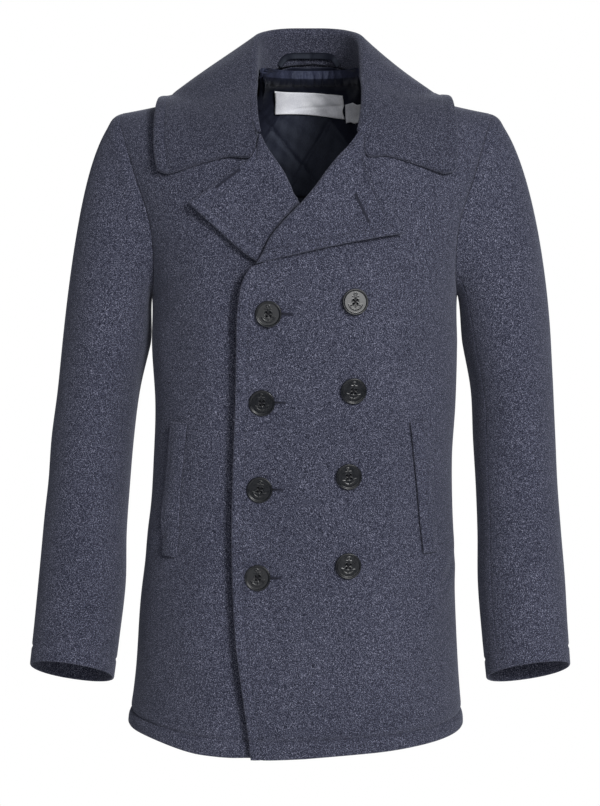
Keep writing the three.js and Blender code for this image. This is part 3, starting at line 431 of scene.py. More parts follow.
def panel_end(z, side, back):
    low = half_width(z)
    neck = NECK_X * np.sqrt(np.maximum(1 - z / (NECK_RISE + 2), 0))
    angle = np.arccos(np.clip((z - ARM_Z) / ARM_HIGH, -1, 1)) * (-1 if back else 1)
    hole = (armhole(angle, side)[..., 0] - sway(z)) * side
    reach = np.select([z <= UNDERARM_Z, z > 0, z >= -TIP_DROP], [low, neck, shoulder_reach(z)], hole)
    return sway(z) + side * reach


def places(length, marks, step, last=True):
    """Places along a length: close together at its ends and round the marks."""
    spots = set(NEAR_EDGE) | {length - d for d in (NEAR_EDGE if last else NEAR_EDGE[:1])}
    for m in marks:
        at = m if m >= 0 else length + m
        spots |= {at + d for d in NEAR_STITCH}
    kept = sorted(spots)
    full = [kept[0]]
    for a, b in zip(kept, kept[1:]):
        n = max(1, round((b - a) / step))
        full += [a + (b - a) * i / n for i in range(1, n + 1)]
    return np.array(full) / length


def arc(p, axis):
    """Lengths along a grid of points."""
    step = np.linalg.norm(np.diff(p, axis=axis), axis=-1)
    total = np.cumsum(step, axis=axis)
    zero = np.zeros_like(np.take(total, [0], axis=axis))
    return np.concatenate([zero, total], axis=axis)


def length(p):
    return float(np.linalg.norm(np.diff(p, axis=0), axis=-1).sum())


def nearest(values, at):
    return int(np.argmin(np.abs(values - at)))


def put(name, data):
    """A new object in the scene."""
    obj = bpy.data.objects.new(name, data)
    bpy.context.scene.collection.objects.link(obj)
    return obj


def make(name, verts, faces, materials, picks=None):
    """A smooth mesh of the coat. picks are its faces' materials."""
    mesh = bpy.data.meshes.new(name)
    mesh.from_pydata((np.asarray(verts) * MM).tolist(), [], [list(map(int, f)) for f in faces])
    for m in materials:
        mesh.materials.append(m)
    if picks is not None:
        mesh.polygons.foreach_set("material_index", np.asarray(picks, dtype=np.int32))
    mesh.polygons.foreach_set("use_smooth", np.ones(len(mesh.polygons), dtype=bool))
    mesh.update()
    obj = put(name, mesh)
    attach(obj, "root")
    return obj


def sheet(node, outer, inner, soft, materials, inside=None, hold=(0, 0, 0, 0)):
    """A closed sheet of cloth between two grids, its four edges rounded over soft distances.

    inside marks what has the second material, and hold is the share of its thickness that
    an edge keeps, as at a seam pressed open."""
    middle = (outer + inner) / 2
    half = (outer - inner) / 2
    across = arc(middle, 1)
    along = arc(middle, 0)
    ends = [across, across[:, -1:] - across, along, along[-1:] - along]
    full = np.ones(middle.shape[:2])
    for d, r, kept in zip(ends, soft, hold):
        full = full * (kept + (1 - kept) * np.sqrt(1 - (1 - np.clip(d / r, 0, 1)) ** 2))
    rows, cols = full.shape
    rim = np.zeros((rows, cols), bool)
    rim[[0, -1], :] = True
    rim[:, [0, -1]] = True
    full = np.where(rim, 0, full)[..., None]
    top = (middle + half * full).reshape(-1, 3)
    low = (middle - half * full).reshape(-1, 3)
    ids = np.arange(rows * cols).reshape(rows, cols)
    under = np.where(rim, ids, 0)
    under[~rim] = rows * cols + np.arange((~rim).sum())

    def quads(g):
        return np.stack([g[:-1, :-1], g[:-1, 1:], g[1:, 1:], g[1:, :-1]], -1).reshape(-1, 4)
    verts = np.concatenate([top, low[(~rim).reshape(-1)]])
    r, c = rows // 2, cols // 2
    facing = np.cross(outer[r, c + 1] - outer[r, c], outer[r + 1, c] - outer[r, c])
    turned = np.dot(facing, half[r, c]) < 0
    up = quads(ids)
    down = quads(under)
    faces = np.concatenate([up[:, ::-1], down] if turned else [up, down[:, ::-1]])
    marks = np.zeros(len(down)) if inside is None else inside[:-1, :-1].reshape(-1)
    picks = np.concatenate([np.zeros(len(up)), marks])
    obj = make(node + "_cloth", verts, faces, materials, picks)
    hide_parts(node)
    return obj


def bands(rings, count, base=0):
    """Faces between rings of points that follow each other."""
    faces = []
    for i in range(rings - 1):
        for k in range(count):
            a, b = base + i * count + k, base + i * count + (k + 1) % count
            faces.append((a, b, b + count, a + count))
    return faces


def rod(rings, count, base=0):
    """Faces of a closed rod of rings."""
    last = base + (rings - 1) * count
    caps = [tuple(base + k for k in range(count))[::-1], tuple(last + k for k in range(count))]
    return bands(rings, count, base) + caps


def disc(rings, count):
    """Faces of a closed disc of rings, whose two middle points come after them."""
    faces = [(a, d, c, b) for a, b, c, d in bands(rings, count)]
    last = (rings - 1) * count
    for k in range(count):
        m = (k + 1) % count
        faces += [(k, m, rings * count), (last + m, last + k, rings * count + 1)]
    return faces


def tube(name, path, normal, wide, thick, material, sides=10, ends=True):
    """A rounded band along a path, or round a loop where it has no ends."""
    run = unit(np.gradient(path, axis=0))
    normal = unit(normal - dot(normal, run) * run)
    across = np.cross(run, normal)
    t = np.linspace(0, 2 * math.pi, sides, endpoint=False)
    wide = np.broadcast_to(wide, len(path))[:, None, None]
    thick = np.broadcast_to(thick, len(path))[:, None, None]
    ring = across[:, None] * np.cos(t)[None, :, None] * wide / 2
    ring = ring + normal[:, None] * np.sin(t)[None, :, None] * thick / 2
    verts = (path[:, None] + ring).reshape(-1, 3)
    faces = rod(len(path), sides)
    if not ends:
        last = (len(path) - 1) * sides
        faces = faces[:-2]
        faces += [(last + k, last + (k + 1) % sides, (k + 1) % sides, k) for k in range(sides)]
    return make(name, verts, faces, [material])


def give(tree, node, inputs):
    """Sets the inputs of a node, or links them where an output is given."""
    for key, value in inputs.items():
        if isinstance(value, bpy.types.NodeSocket):
            tree.links.new(value, node.inputs[key])
        else:
            node.inputs[key].default_value = value


class Look:
    """A material built round its shader."""

    def __init__(self, name, rough):
        self.made = bpy.data.materials.new(name)
        self.made.use_nodes = True
        self.tree = self.made.node_tree
        self.shade({"Roughness": rough})

    def shade(self, inputs):
        give(self.tree, self.tree.nodes["Principled BSDF"], inputs)

    def add(self, kind, inputs, output):
        node = self.tree.nodes.new("ShaderNode" + kind)
        give(self.tree, node, inputs)
        return node.outputs[output]

    def noise(self, scale, detail, stretch=(1, 1, 1)):
        spot = self.add("TexCoord", {}, "Object")
        spot = self.add("Mapping", {"Scale": stretch, "Vector": spot}, "Vector")
        return self.add("TexNoise", {"Scale": scale, "Detail": detail, "Vector": spot}, "Fac")

    def ramp(self, factor, stops, tint=1.0):
        """Colours over a factor. A stop is its place with a colour or a grey."""
        node = self.tree.nodes.new("ShaderNodeValToRGB")
        while len(node.color_ramp.elements) < len(stops):
            node.color_ramp.elements.new(0.5)
        for element, (at, colour) in zip(node.color_ramp.elements, stops):
            element.position = at
            element.color = (*(tint * np.broadcast_to(colour, 3)), 1)
        give(self.tree, node, {"Fac": factor})
        return node.outputs["Color"]

    def multiply(self, a, b, share=1.0):
        node = self.tree.nodes.new("ShaderNodeMix")
        node.data_type = "RGBA"
        node.blend_type = "MULTIPLY"
        give(self.tree, node, {"Factor": share, "A": a, "B": b})
        return node.outputs["Result"]

    def roughen(self, height, strength, distance):
        bumps = {"Strength": strength, "Distance": distance, "Height": height}
        self.shade({"Normal": self.add("Bump", bumps, "Normal")})


def melton_wool(name, tint=1.0):
    """Felted wool: a dark ground with paler fibres, in tufts, a little worn."""
    look = Look(name, 0.95)
    flecks = look.noise(1280, 1.5, (1, 1, 0.75))
    fibre = look.ramp(flecks, [
        (0.32, (0.005, 0.0055, 0.011)), (0.45, (0.024, 0.026, 0.043)),
        (0.57, (0.060, 0.063, 0.096)), (0.68, (0.235, 0.240, 0.315)),
    ], tint)
    tuft = look.ramp(look.noise(520, 2, (1, 1, 0.8)), [(0.36, (0.8, 0.8, 0.82)), (0.64, (1.16, 1.16, 1.15))])
    worn = look.ramp(look.noise(13, 3), [(0.3, (0.88, 0.89, 0.9)), (0.7, (1.1, 1.1, 1.09))])
    look.shade({
        "Base Color": look.multiply(look.multiply(fibre, tuft, 0.75), worn, 0.8),
        "Sheen Weight": 0.22, "Sheen Roughness": 0.55, "Sheen Tint": (0.55, 0.58, 0.72, 1),
        "Specular IOR Level": 0.12,
    })
    look.roughen(flecks, 0.6, 0.0007)
    return look.made


def satin(name, tint=1.0):
    look = Look(name, 0.55)
    weave = look.noise(1500, 1, (1, 1, 0.25))
    base = look.ramp(weave, [(0.3, (0.008, 0.009, 0.016)), (0.7, (0.016, 0.018, 0.031))], tint)
    cloud = look.ramp(look.noise(30, 2), [(0.3, 0.8), (0.7, 1.25)])
    look.shade({
        "Base Color": look.multiply(base, cloud), "Specular IOR Level": 0.2,
        "Specular Tint": (0.7, 0.8, 1, 1),
    })
    look.roughen(weave, 0.12, 0.0003)
    return look.made


def resin(name):
    look = Look(name, 0.3)
    grain = look.noise(240, 3)
    look.shade({
        "Base Color": look.ramp(grain, [(0.3, (0.003, 0.004, 0.006)), (0.7, (0.006, 0.007, 0.010))]),
        "Roughness": look.ramp(grain, [(0.3, 0.25), (0.7, 0.34)]), "Specular IOR Level": 0.42,
    })
    look.roughen(grain, 0.05, 0.0002)
    return look.made


def tape(name):
    look = Look(name, 0.72)
    weave = look.noise(1300, 1, (1, 1, 0.3))
    base = look.ramp(weave, [(0.3, (0.74, 0.75, 0.80)), (0.7, (0.90, 0.91, 0.95))])
    soil = look.ramp(look.noise(60, 3), [(0.35, (0.86, 0.86, 0.88)), (0.65, 1)])
    look.shade({"Base Color": look.multiply(base, soil)})
    look.roughen(weave, 0.25, 0.0003)
    return look.made


def thread(name, low, high):
    look = Look(name, 0.7)
    ply = look.noise(2400, 1, (1, 1, 0.4))
    look.shade({"Base Color": look.ramp(ply, [(0.35, low), (0.65, high)]), "Specular IOR Level": 0.15})
    look.roughen(ply, 0.4, 0.0003)
    return look.made


MELTON = melton_wool("melton")
# The collar's melton is a darker copy of the same cloth: painted shade, since the collar faces away from the
# lamps.
MELTON_COLLAR_PAINTED_SHADE = melton_wool("melton_collar_painted_shade", 0.86)
SATIN = satin("lining_satin")
# The loop's satin is a darker copy of the lining satin: painted shade, to hold down the light the loop
# catches.
LOOP_SATIN_PAINTED_SHADE = satin("loop_satin_painted_shade", 0.45)
# The gathered band's satin is a lighter copy of the lining satin: painted light, since the band catches the
# lamps.
BAND_SATIN_PAINTED_LIGHT = satin("band_satin_painted_light", 2.7)
RESIN = resin("button_resin")
TAPE = tape("label_tape")
THREAD = thread("wool_thread", (0.013, 0.014, 0.024), (0.034, 0.036, 0.057))
# Near-black thread; it also fills buttonhole slits and eyelets as painted shade.
DARK_THREAD_AND_SHADE = thread("dark_thread_and_shade", (0.004, 0.004, 0.006), (0.015, 0.015, 0.019))
CLOTH = [MELTON, SATIN]


def stitched(d, at):
    """Depth to which a row of stitches pulls the cloth in, over the distance from it."""
    return -GROOVE * bump((d - at) / 1.9)


def crossing_stitches(d_one, d_two):
    """Rows of stitches along two edges that meet, over the distance from each."""
    one = stitched(d_one, STITCH_IN) * smooth(d_two, 8, 12)
    return one + stitched(d_two, STITCH_IN) * smooth(d_one, 8, 12)


def panel_rows(back):
    high = NECK_RISE - 0.5 if back else float(shoulder_height(76, False))
    hem = [0, 0.4, 1.0, 1.9, 3.2, 5, 8, 12, 15.5]
    hem += [HEM_STITCH + d for d in NEAR_STITCH]
    low = np.arange(HEM_Z + 26, UNDERARM_Z, 4.0)
    arm = np.linspace(UNDERARM_Z, -TIP_DROP, 58)
    yoke_rows = np.linspace(-TIP_DROP, high, 40 if back else 34)[1:]
    rows = np.concatenate([HEM_Z + np.array(hem), low, arm, yoke_rows])
    last = rows[-1]
    return np.concatenate([rows[:-1], [last - 0.4, last]])


def hem_shift(x, y):
    """How much higher or lower the hem hangs."""
    front = np.where(y < 0, -4 * bump((x + 58) / 70), 0)
    side = np.where(x < 0, 9 * smooth(-x, 120, 200), 0.035 * x)
    return front + side * smooth(-y, -60, 40)


def panel(name, inner, side, back, lift, fold=0.0):
    """A body panel. fold is how much thicker its turned inner edge is."""
    zs = panel_rows(back)
    start = inner(zs)
    end = panel_end(zs, side, back)
    c = np.sin(np.linspace(0, 1, 700) * math.pi / 2)
    x = start[:, None] + (end - start)[:, None] * c
    y = (1 if back else -1) * depth_at(x, zs[:, None], back)
    base = np.stack([x, y, np.broadcast_to(zs[:, None], x.shape)], -1)
    run = arc(base, 1)
    mean = float(np.median(run[:, -1]))
    spots = places(mean, (STITCH_IN,) if fold else (), 4.2)
    xs = np.stack([np.interp(spots * r[-1], r, row) for r, row in zip(run, x)])
    z = np.broadcast_to(zs[:, None], xs.shape)
    d_edge = spots[None] * run[:, -1:]
    above = z - HEM_Z
    groove = stitched(above, HEM_STITCH) * 1.2 - 1.1 * bump((above - HEM_STITCH - 1) / 5)
    groove = groove + 0.6 * bump((above - 9) / 7) + (0.8 * stitched(d_edge, STITCH_IN) if fold else 0)
    puff = fold * 0.35 * bump((d_edge - 6) / 7)
    opened = 2.5 * fold * (1 - smooth(d_edge, 4, 40)) * smooth(above, 5, 90)
    outer, n = on_panel(xs, z, back, lift(xs, z) + groove + puff + opened)
    thick = WALL + fold * (1 - smooth(d_edge, 8, 24)) * smooth(-z, -BREAK_Z - 20, 40 - BREAK_Z)
    inside = outer - n * thick[..., None]
    shift = hem_shift(outer[..., 0], outer[..., 1]) * (1 - smooth(above, 0, 45))
    outer[..., 2] += shift
    inside[..., 2] += shift
    lined = (above > 45) & (d_edge > (60 if fold else 0))
    lined |= (z > -230) & (not back)
    soft, hold = (4 if back else 1.9, 4.5, 1.7, 3), (0.5 if back else 0, 0.45, 0, 0.5)
    sheet(name, outer, inside, soft, CLOTH, lined, hold)
    return outer, n


def top_edge(z):
    return np.where(z < BREAK_Z, edge_x(z), roll_top(z) + ROLL_BACK)


def under_edge(z):
    turning = ROLL_UNDER[0][1] + (UNDER_EDGE - ROLL_UNDER[0][1]) * smooth(-z, -BREAK_Z, UNDER_BREAK - BREAK_Z)
    low = np.where(z < BREAK_Z - UNDER_BREAK, UNDER_EDGE, turning - ROLL_BACK)
    return np.where(z < BREAK_Z, low, roll_under(z) - ROLL_BACK)


def sleeve_ring(side, angle, row):
    def get(column):
        return curve(SLEEVE, column)(row)

    def rounded(v):
        return np.sign(v) * np.abs(v) ** (2 / SLEEVE_PLAN)
    across = get(4) * rounded(np.cos(angle))
    deep = -get(5) * rounded(np.sin(angle))
    rise = CUFF_RISE * smooth(row, 4, len(SLEEVE) - 1) * across
    centre = get(1 if side < 0 else 2)
    return np.stack([side * (centre + across), get(3) + deep, get(7) - get(6) * deep + rise], -1)


def sleeve_relief(side, angle, s, far):
    total = np.zeros(np.broadcast(angle, s).shape)
    for fs, fa, long, wide, high, lean in SLEEVE_FOLDS + SLEEVE_CREASES[side]:
        turn = np.arctan2(np.sin(angle - fa), np.cos(angle - fa)) - lean * (s - fs)
        total = total + high * bump((s - fs) / long) * bump(turn / wide)
    high, at, wide = ROPE
    crown = smooth(np.cos(angle), -0.2, 0.5)
    total = total + crown * (high * bump((far - at) / wide) - 0.9 * bump(far / 3))
    return total + stitched((CUFF - s) * CUFF_STEP, CUFF_STITCH) * 0.8


def sleeve_points(side, angle, s):
    """Points on a sleeve over angles round it and s from the armhole to the cuff."""
    angle, s = np.broadcast_arrays(angle, s)
    start = armhole(angle[0], side)
    away = armhole_edge(angle[0], side)
    raised = outward(start)[0] * relief(*start.T)[:, None]
    end = sleeve_ring(side, angle[0], np.zeros(angle.shape[1]))
    nxt = sleeve_ring(side, angle[0], np.full(angle.shape[1], 0.25))
    chord = np.linalg.norm(end - start, axis=-1, keepdims=True)
    down = unit(end - nxt)
    sn, cs = np.sin(angle[0])[:, None], np.cos(angle[0])[:, None]
    leave = chord * (0.14 + 0.16 * sn ** 2)
    arrive = chord * (0.3 + 0.12 * (1 + cs) / 2)
    lead = np.concatenate([np.full_like(sn, side * 0.88), -0.2 * sn, np.full_like(sn, -0.47)], -1)
    tangent = 0.65 * lead + 0.35 * away
    a = start + raised - LAP * away
    b = a + tangent * leave
    c = end + down * arrive
    t = np.clip(s, 0, 1)[..., None]
    u = 1 - t
    head = u ** 3 * a + 3 * u * u * t * b + 3 * u * t * t * c + t ** 3 * end
    ring = sleeve_ring(side, angle, np.maximum(s - 1, 0))
    p = np.where(s[..., None] < 1, head, ring)
    round_out = np.stack([side * np.cos(angle), -np.sin(angle), np.zeros_like(angle)], -1)
    far = arc(p, 0)
    return p + round_out * sleeve_relief(side, angle, s, far)[..., None]


def grid_normals(p, towards):
    n = np.cross(np.gradient(p, axis=0), np.gradient(p, axis=1))
    n = unit(n)
    return np.where(dot(n, towards) < 0, -n, n)


def sleeve(name, side, first, last):
    near = np.array([0, 0.006, 0.014, 0.026, 0.045])
    middle = np.linspace(first + 0.07, last - 0.07, max(8, round((last - first) / 0.062)))
    angle = np.concatenate([first + SLEEVE_GAP + near, middle, last - SLEEVE_GAP - near[::-1]])
    cuff = np.array([27, 25.2, 24.5, 24, 23.5, 22.8, 20, 15, 10, 6, 4, 2.6, 1.5, 0.8, 0.3, 0])
    s = np.concatenate([
        [0, 0.003, 0.007, 0.012, 0.02, 0.03], np.linspace(0.045, 1, 50), np.linspace(1, 7.47, 100)[1:],
        CUFF - cuff / CUFF_STEP,
    ])
    outer = sleeve_points(side, angle[None], s[:, None])
    axis_x = side * np.interp(s, [0, 1, CUFF], [190, 238, 270])
    axis_y = np.interp(s, [0, 1, 3, CUFF], [0, 12, 0, -60])
    axis = np.stack([axis_x, axis_y, 0 * s], -1)[:, None]
    n = grid_normals(outer, (outer - axis) * [1, 1, 0])
    lined = np.broadcast_to((s < LINED_SLEEVE)[:, None], outer.shape[:2])
    soft, hold = (4, 4, 4.5, 1.9), (0.5, 0.5, 0.45, 0)
    sheet(name, outer, outer - n * WALL, soft, CLOTH, lined, hold)


def lapel_plan(shape, roll):
    """A lapel's plan: a patch between its roll, gorge, notch and outer edge."""
    side, gorge, notch, tip, toe = (np.array(shape[k]) for k in ("side", "gorge", "notch", "tip", "toe"))

    def roll_at(t):
        z = toe[1] + (gorge[1] - toe[1]) * t
        return np.stack([roll(z), z], -1)

    def plan(i, j):
        start, end = roll_at(0 * i), roll_at(0 * i + 1)
        along = roll_at(i)
        i, j = i[..., None], j[..., None]
        bow = shape["sag"] * 4 * j * (1 - j)
        lower = toe + (tip - toe) * j - bow * [side * 0.4, 1]
        upper = gorge + (notch - gorge) * j
        outer = tip + (notch - tip) * i
        p = (1 - j) * along + j * outer + (1 - i) * lower + i * upper
        return p - (1 - i) * (1 - j) * start - (1 - i) * j * tip - i * (1 - j) * end - i * j * notch
    return plan


def lapel(name, shape, roll, lift):
    plan = lapel_plan(shape, roll)
    ds = np.linspace(0, 1, 60)
    long = length(plan(ds, np.full(60, 0.5)))
    rows = places(long, (STITCH_IN,), 3.2)
    wide = np.array([length(plan(np.full(60, i), ds)) for i in rows])[:, None]
    mean = float(np.median(wide))
    cols = places(mean, (-STITCH_IN,), 3.0) * mean
    narrow = np.minimum(1, wide / mean)
    blend = smooth(cols / mean, 0.35, 0.65)
    at = cols * narrow * (1 - blend) + (wide - (mean - cols) * narrow) * blend
    j = at / wide
    i = np.broadcast_to(rows[:, None], j.shape)
    x, z = np.moveaxis(plan(i, j), -1, 0)
    d_edge, d_low = wide - at, i * long
    swell = 3.6 * (1 - smooth(j, 0.06, 0.75)) + 0.5 + crossing_stitches(d_edge, d_low)
    swell = swell + 0.9 * bump((d_edge - 6) / 5) + 0.9 * bump((d_low - 6) / 5)
    curl = 6 * smooth(j, 0.5, 1) + 2.5 * (1 - smooth(d_low, 0, 34)) * smooth(j, 0.05, 0.3)
    under = lift(x, z) + REST + curl * (1 - smooth(i, 0.8, 1))
    outer, n = on_panel(x, z, False, under + FACED + swell)
    inside, _ = on_panel(x, z, False, under)
    sheet(name, outer, inside, (5.5, 2.6, 2.6, 1.2), [MELTON])
    edge = nearest(mean - cols, STITCH_IN)
    low = nearest(rows * long, STITCH_IN)
    return outer, n, [(outer[low:, edge], n[low:, edge]), (outer[low, 3:edge + 1], n[low, 3:edge + 1])]


def collar_section(a, t_stand, t_fold, t_leaf):
    """Points of the collar's upper and under side over a from -1 to 1."""
    side = np.where(a < 0, -1.0, 1.0)
    far = np.abs(a)

    def at(rows, t):
        p = line(rows)(np.clip(t, 0, 1))
        p[..., 0] *= side
        return p
    seam = at(COLLAR_SEAM, far) + [COLLAR_SWAY, 0, 0]
    fold = at(COLLAR_FOLD, far) + [FOLD_SWAY, 0, 0]
    edge = at(COLLAR_EDGE, far)
    run = unit(at(COLLAR_FOLD, np.minimum(far + 0.02, 1)) - at(COLLAR_FOLD, np.maximum(far - 0.02, 0)))
    out = unit(np.stack([-run[..., 1], run[..., 0], 0 * far], -1))
    wrong = (out[..., 0] * side < 0) | ((far < 0.05) & (out[..., 1] < 0))
    out = np.where(wrong[..., None], -out, out)
    centre = smooth(far, 0, 0.05)[..., None]
    out = unit(out * centre + np.array([0, 1.0, 0]) * (1 - centre))
    up = unit(np.cross(run, out))
    up = np.where(up[..., 2:3] < 0, -up, up)
    core = fold - up * FOLD_R
    chord = edge - fold
    turn = np.arctan2(dot(chord, out), dot(chord, up))[..., 0]
    turn = np.clip(turn, math.pi * 0.55, math.pi * 0.92)

    def radial(t):
        return -np.cos(t)[..., None] * out + np.sin(t)[..., None] * up
    begin = core - out * FOLD_R
    top, low = [], []
    for t in t_stand:
        p = seam + (begin - seam) * t
        top.append(p)
        low.append(p + out * FACED)
    for t in t_fold:
        ray = radial(turn * t)
        top.append(core + ray * FOLD_R)
        low.append(core + ray * (FOLD_R - FACED))
    ray = radial(turn)
    start = core + ray * FOLD_R
    shape = smooth(far, 0.6, 1)[..., None]
    bulge = LEAF_BULGE[0] + (LEAF_BULGE[1] - LEAF_BULGE[0]) * smooth(a, -0.35, 0.35)
    for t in t_leaf:
        p = start + (edge - start) * t + ray * (bulge * math.sin(math.pi * t))[..., None]
        x = side * curve(COLLAR_FRONT, 1)(t) + curve(COLLAR_FRONT, 3)(t)
        z = curve(COLLAR_FRONT, 2)(t) + 0 * x
        flat, _ = on_panel(x, z, False, np.where(side > 0, top_lift(x, z), 0) + REST + FACED)
        p = p + (flat - p) * shape
        top.append(p)
        low.append(p - ray * FACED)
    return np.stack(top, 1), np.stack(low, 1)


def collar():
    """The collar. Gives its stand's face, and where its rows of stitches lie."""
    spots = places(COLLAR_HALF, (STITCH_IN,), 4.6, last=False)
    a = np.concatenate([-1 + spots[:-1], (1 - spots)[::-1]])
    t_leaf = (1 - places(LEAF_WIDE, (STITCH_IN,), 4.0, last=False)[::-1])[1:]
    t_stand = np.concatenate([[0, 0.02, 0.06, 0.12], np.linspace(0.2, 0.9, 7)])
    t_fold = np.linspace(0, 1, 11)
    top, low = collar_section(a, t_stand, t_fold, t_leaf)
    side = np.where(a < 0, -1, 1)[:, None]
    gap = REST + np.where((low[..., 1] < 0) & (side > 0), top_lift(low[..., 0], low[..., 2]), 0)
    first = len(t_stand) + len(t_fold)
    t_all = np.concatenate([np.zeros(first), t_leaf])[None]
    spring = 5 * smooth(t_all, 0.6, 1) * smooth(np.abs(a), 0.3, 0.6)[:, None]
    clear = clear_of(low, gap + spring)
    top = top + (clear - low)
    thick = unit(top - clear)
    on_leaf = np.where(np.arange(t_all.size) < first, 0, smooth(t_all, 0.1, 0.2))
    d_edge = np.broadcast_to(np.where(t_all > 0, (1 - t_all) * LEAF_WIDE, 99.0), top.shape[:2])
    d_front = np.broadcast_to(((1 - np.abs(a)) * COLLAR_HALF)[:, None], d_edge.shape)
    soft = crossing_stitches(d_edge, d_front) * on_leaf
    soft = soft + 1.0 * bump((np.minimum(d_edge, d_front + 99 * (1 - on_leaf)) - 6) / 5)
    for ca, ct, la, lt, high in COLLAR_CREASES:
        soft = soft + high * bump((a[:, None] - ca) / la) * bump((t_all - ct) / lt) * on_leaf
    top = top + thick * soft[..., None]
    sheet("collar", top, clear, (2.6, 2.6, 1.0, 2.3), [MELTON_COLLAR_PAINTED_SHADE])
    edge = nearest(d_edge[0], STITCH_IN)
    half = len(a) // 2
    left, right = nearest(d_front[:half, 0], STITCH_IN), half + nearest(d_front[half:, 0], STITCH_IN)
    rows = [(top[left:right + 1, edge], thick[left:right + 1, edge])]
    rows += [(top[row, first + 3:edge], thick[row, first + 3:edge]) for row in (left, right)]
    return top[:, :len(t_stand)], rows


def welt(name, top, foot, wide):
    t = places(math.dist(top, foot), (), 3.2)[:, None]
    c = places(wide + 12, (), 1.4)[None] * 2 - 1
    bend = 0.8 * np.sin(t * math.pi) * np.sign(foot[0])
    taper = 1 - 0.12 * smooth(t, 0.75, 1)
    x = top[0] + (foot[0] - top[0]) * t + c * wide / 2 * taper + bend
    z = top[1] + (foot[1] - top[1]) * t + 0 * c
    under = (under_lift if foot[0] < 0 else top_lift)(x, z) + WELT_GAP
    inner_side = stitched(np.abs(c) * wide / 2, wide / 2 - 3) * 0.4
    outer, _ = on_panel(x, z, False, under + WELT_HIGH * (1 - 0.16 * c ** 2) + inner_side)
    inside, _ = on_panel(x, z, False, under)
    sheet(name, outer, inside, (4.6, 4.6, 4, 5), [MELTON])


def relief_line(x, y, a, b, wide, high):
    """Height of a raised rib from a to b."""
    ax, ay = a
    bx, by = b
    t = np.clip(((x - ax) * (bx - ax) + (y - ay) * (by - ay)) / ((bx - ax) ** 2 + (by - ay) ** 2), 0, 1)
    d = np.hypot(x - ax - t * (bx - ax), y - ay - t * (by - ay))
    return high * (1 - smooth(d, wide * 0.25, wide * 0.75))


def anchor(x, y):
    """A plain anchor in low relief, drawn round the four holes."""
    ribs = [relief_line(x, y, a, b, ANCHOR_RIB, ANCHOR_HIGH) for a, b in ANCHOR]
    ring = np.abs(np.hypot(x, y - 9) - 1.4)
    arms = np.abs(np.hypot(x, y + 0.9) - 7.7) + 9 * smooth(y, -4.2, -3)
    ribs.append(ANCHOR_HIGH * (1 - smooth(ring, 0.3, 0.9)))
    ribs.append(ANCHOR_HIGH * (1 - smooth(arms, 0.35, 1.1)))
    return np.max(ribs, axis=0)


def seat(x, z, radius):
    """Where a disc rests on the top front, and the way that it faces."""
    def cloth(a, b):
        return on_panel(a, b, False, top_lift(a, b))[0]
    across = cloth(x + radius, z) - cloth(x - radius, z)
    down = cloth(x, z - radius) - cloth(x, z + radius)
    n = unit(np.cross(down, across))
    t = np.linspace(0, 2 * math.pi, 16, endpoint=False)
    rim = cloth(x + radius * np.cos(t), z + radius * np.sin(t))
    centre = cloth(x, z)
    high = max(0.0, float(np.max((rim - centre) @ n)))
    return centre + n * (high + 0.6), n


def frame_on(n):
    """Across and up directions of a disc that faces along n, to the front."""
    right = unit(np.array([-n[1], n[0], 0]))
    return right, np.cross(n, right)


def button(name, x, z, spin, tilt):
    """A button. spin turns its face, and tilt leans it back, both in radians."""
    centre, n = seat(x, z, BUTTON_R)
    n = unit(n + np.array([0, 0, math.tan(tilt)]))
    centre = centre + n * BUTTON_R * math.sin(tilt) * 0.5
    level, plumb = frame_on(n)
    c, s = math.cos(spin), math.sin(spin)
    right, up = level * c + plumb * s, plumb * c - level * s
    angles = np.linspace(0, 2 * math.pi, 120, endpoint=False)
    rim = np.array(BUTTON_RIM)
    r = np.concatenate([np.linspace(0.25, 12.2, 37), rim[:, 0]])[:, None]
    h = np.concatenate([np.full(37, BUTTON_FACE), rim[:, 1]])[:, None]
    px, py = r * np.cos(angles), r * np.sin(angles)
    face = smooth(-r, -12.3, -11.3)
    high = h + face * (anchor(px, py) - 0.25 * smooth(-r, -4.6, -3.6))
    for hx, hy in HOLES:
        d = np.hypot(px - hx, py - hy)
        high = high - face * 1.7 * (1 - smooth(d, 0.75, 1.25)) + face * 0.15 * bump((d - 1.6) / 0.4)
    verts = centre + px[..., None] * right + py[..., None] * up + high[..., None] * n
    faces = disc(*high.shape)
    verts = np.concatenate([verts.reshape(-1, 3), [centre + 2.8 * n, centre]])
    obj = make(name + "_disc", verts, faces, [RESIN])
    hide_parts(name)
    for k, holes in enumerate((HOLES[::2], HOLES[1::2])):
        t = np.linspace(0, 1, 11)[:, None]
        start, end = (centre + a * right + b * up + 2.2 * n for a, b in holes)
        rise = (1.35 + 0.35 * k) * np.minimum(1, 5 * np.minimum(t, 1 - t))
        path = start + (end - start) * t + n * rise
        tube(f"{name}_thread_{k}", path, n, 0.95, 0.8, DARK_THREAD_AND_SHADE, 8)
    drop = np.linspace(-0.9, 0.8, 5)[:, None]
    tube(f"{name}_shank", centre + n * drop, level, 5, 5, DARK_THREAD_AND_SHADE)


def lay_on(grid, normals, x, z, over):
    """Point at x and z on a grid's face, raised by a distance."""
    flat = grid.reshape(-1, 3)
    normal = normals.reshape(-1, 3)
    k = int(np.argmin((flat[:, 0] - x) ** 2 + (flat[:, 2] - z) ** 2))
    n = normal[k]
    y = flat[k, 1] - (n[0] * (x - flat[k, 0]) + n[2] * (z - flat[k, 2])) / n[1]
    return np.array([x, y, z]) + n * over, n


def laid(cloth, spots, over):
    """Points laid on a cloth's face, and the normals there."""
    return map(np.array, zip(*[lay_on(*cloth, x, z, over) for x, z in spots]))


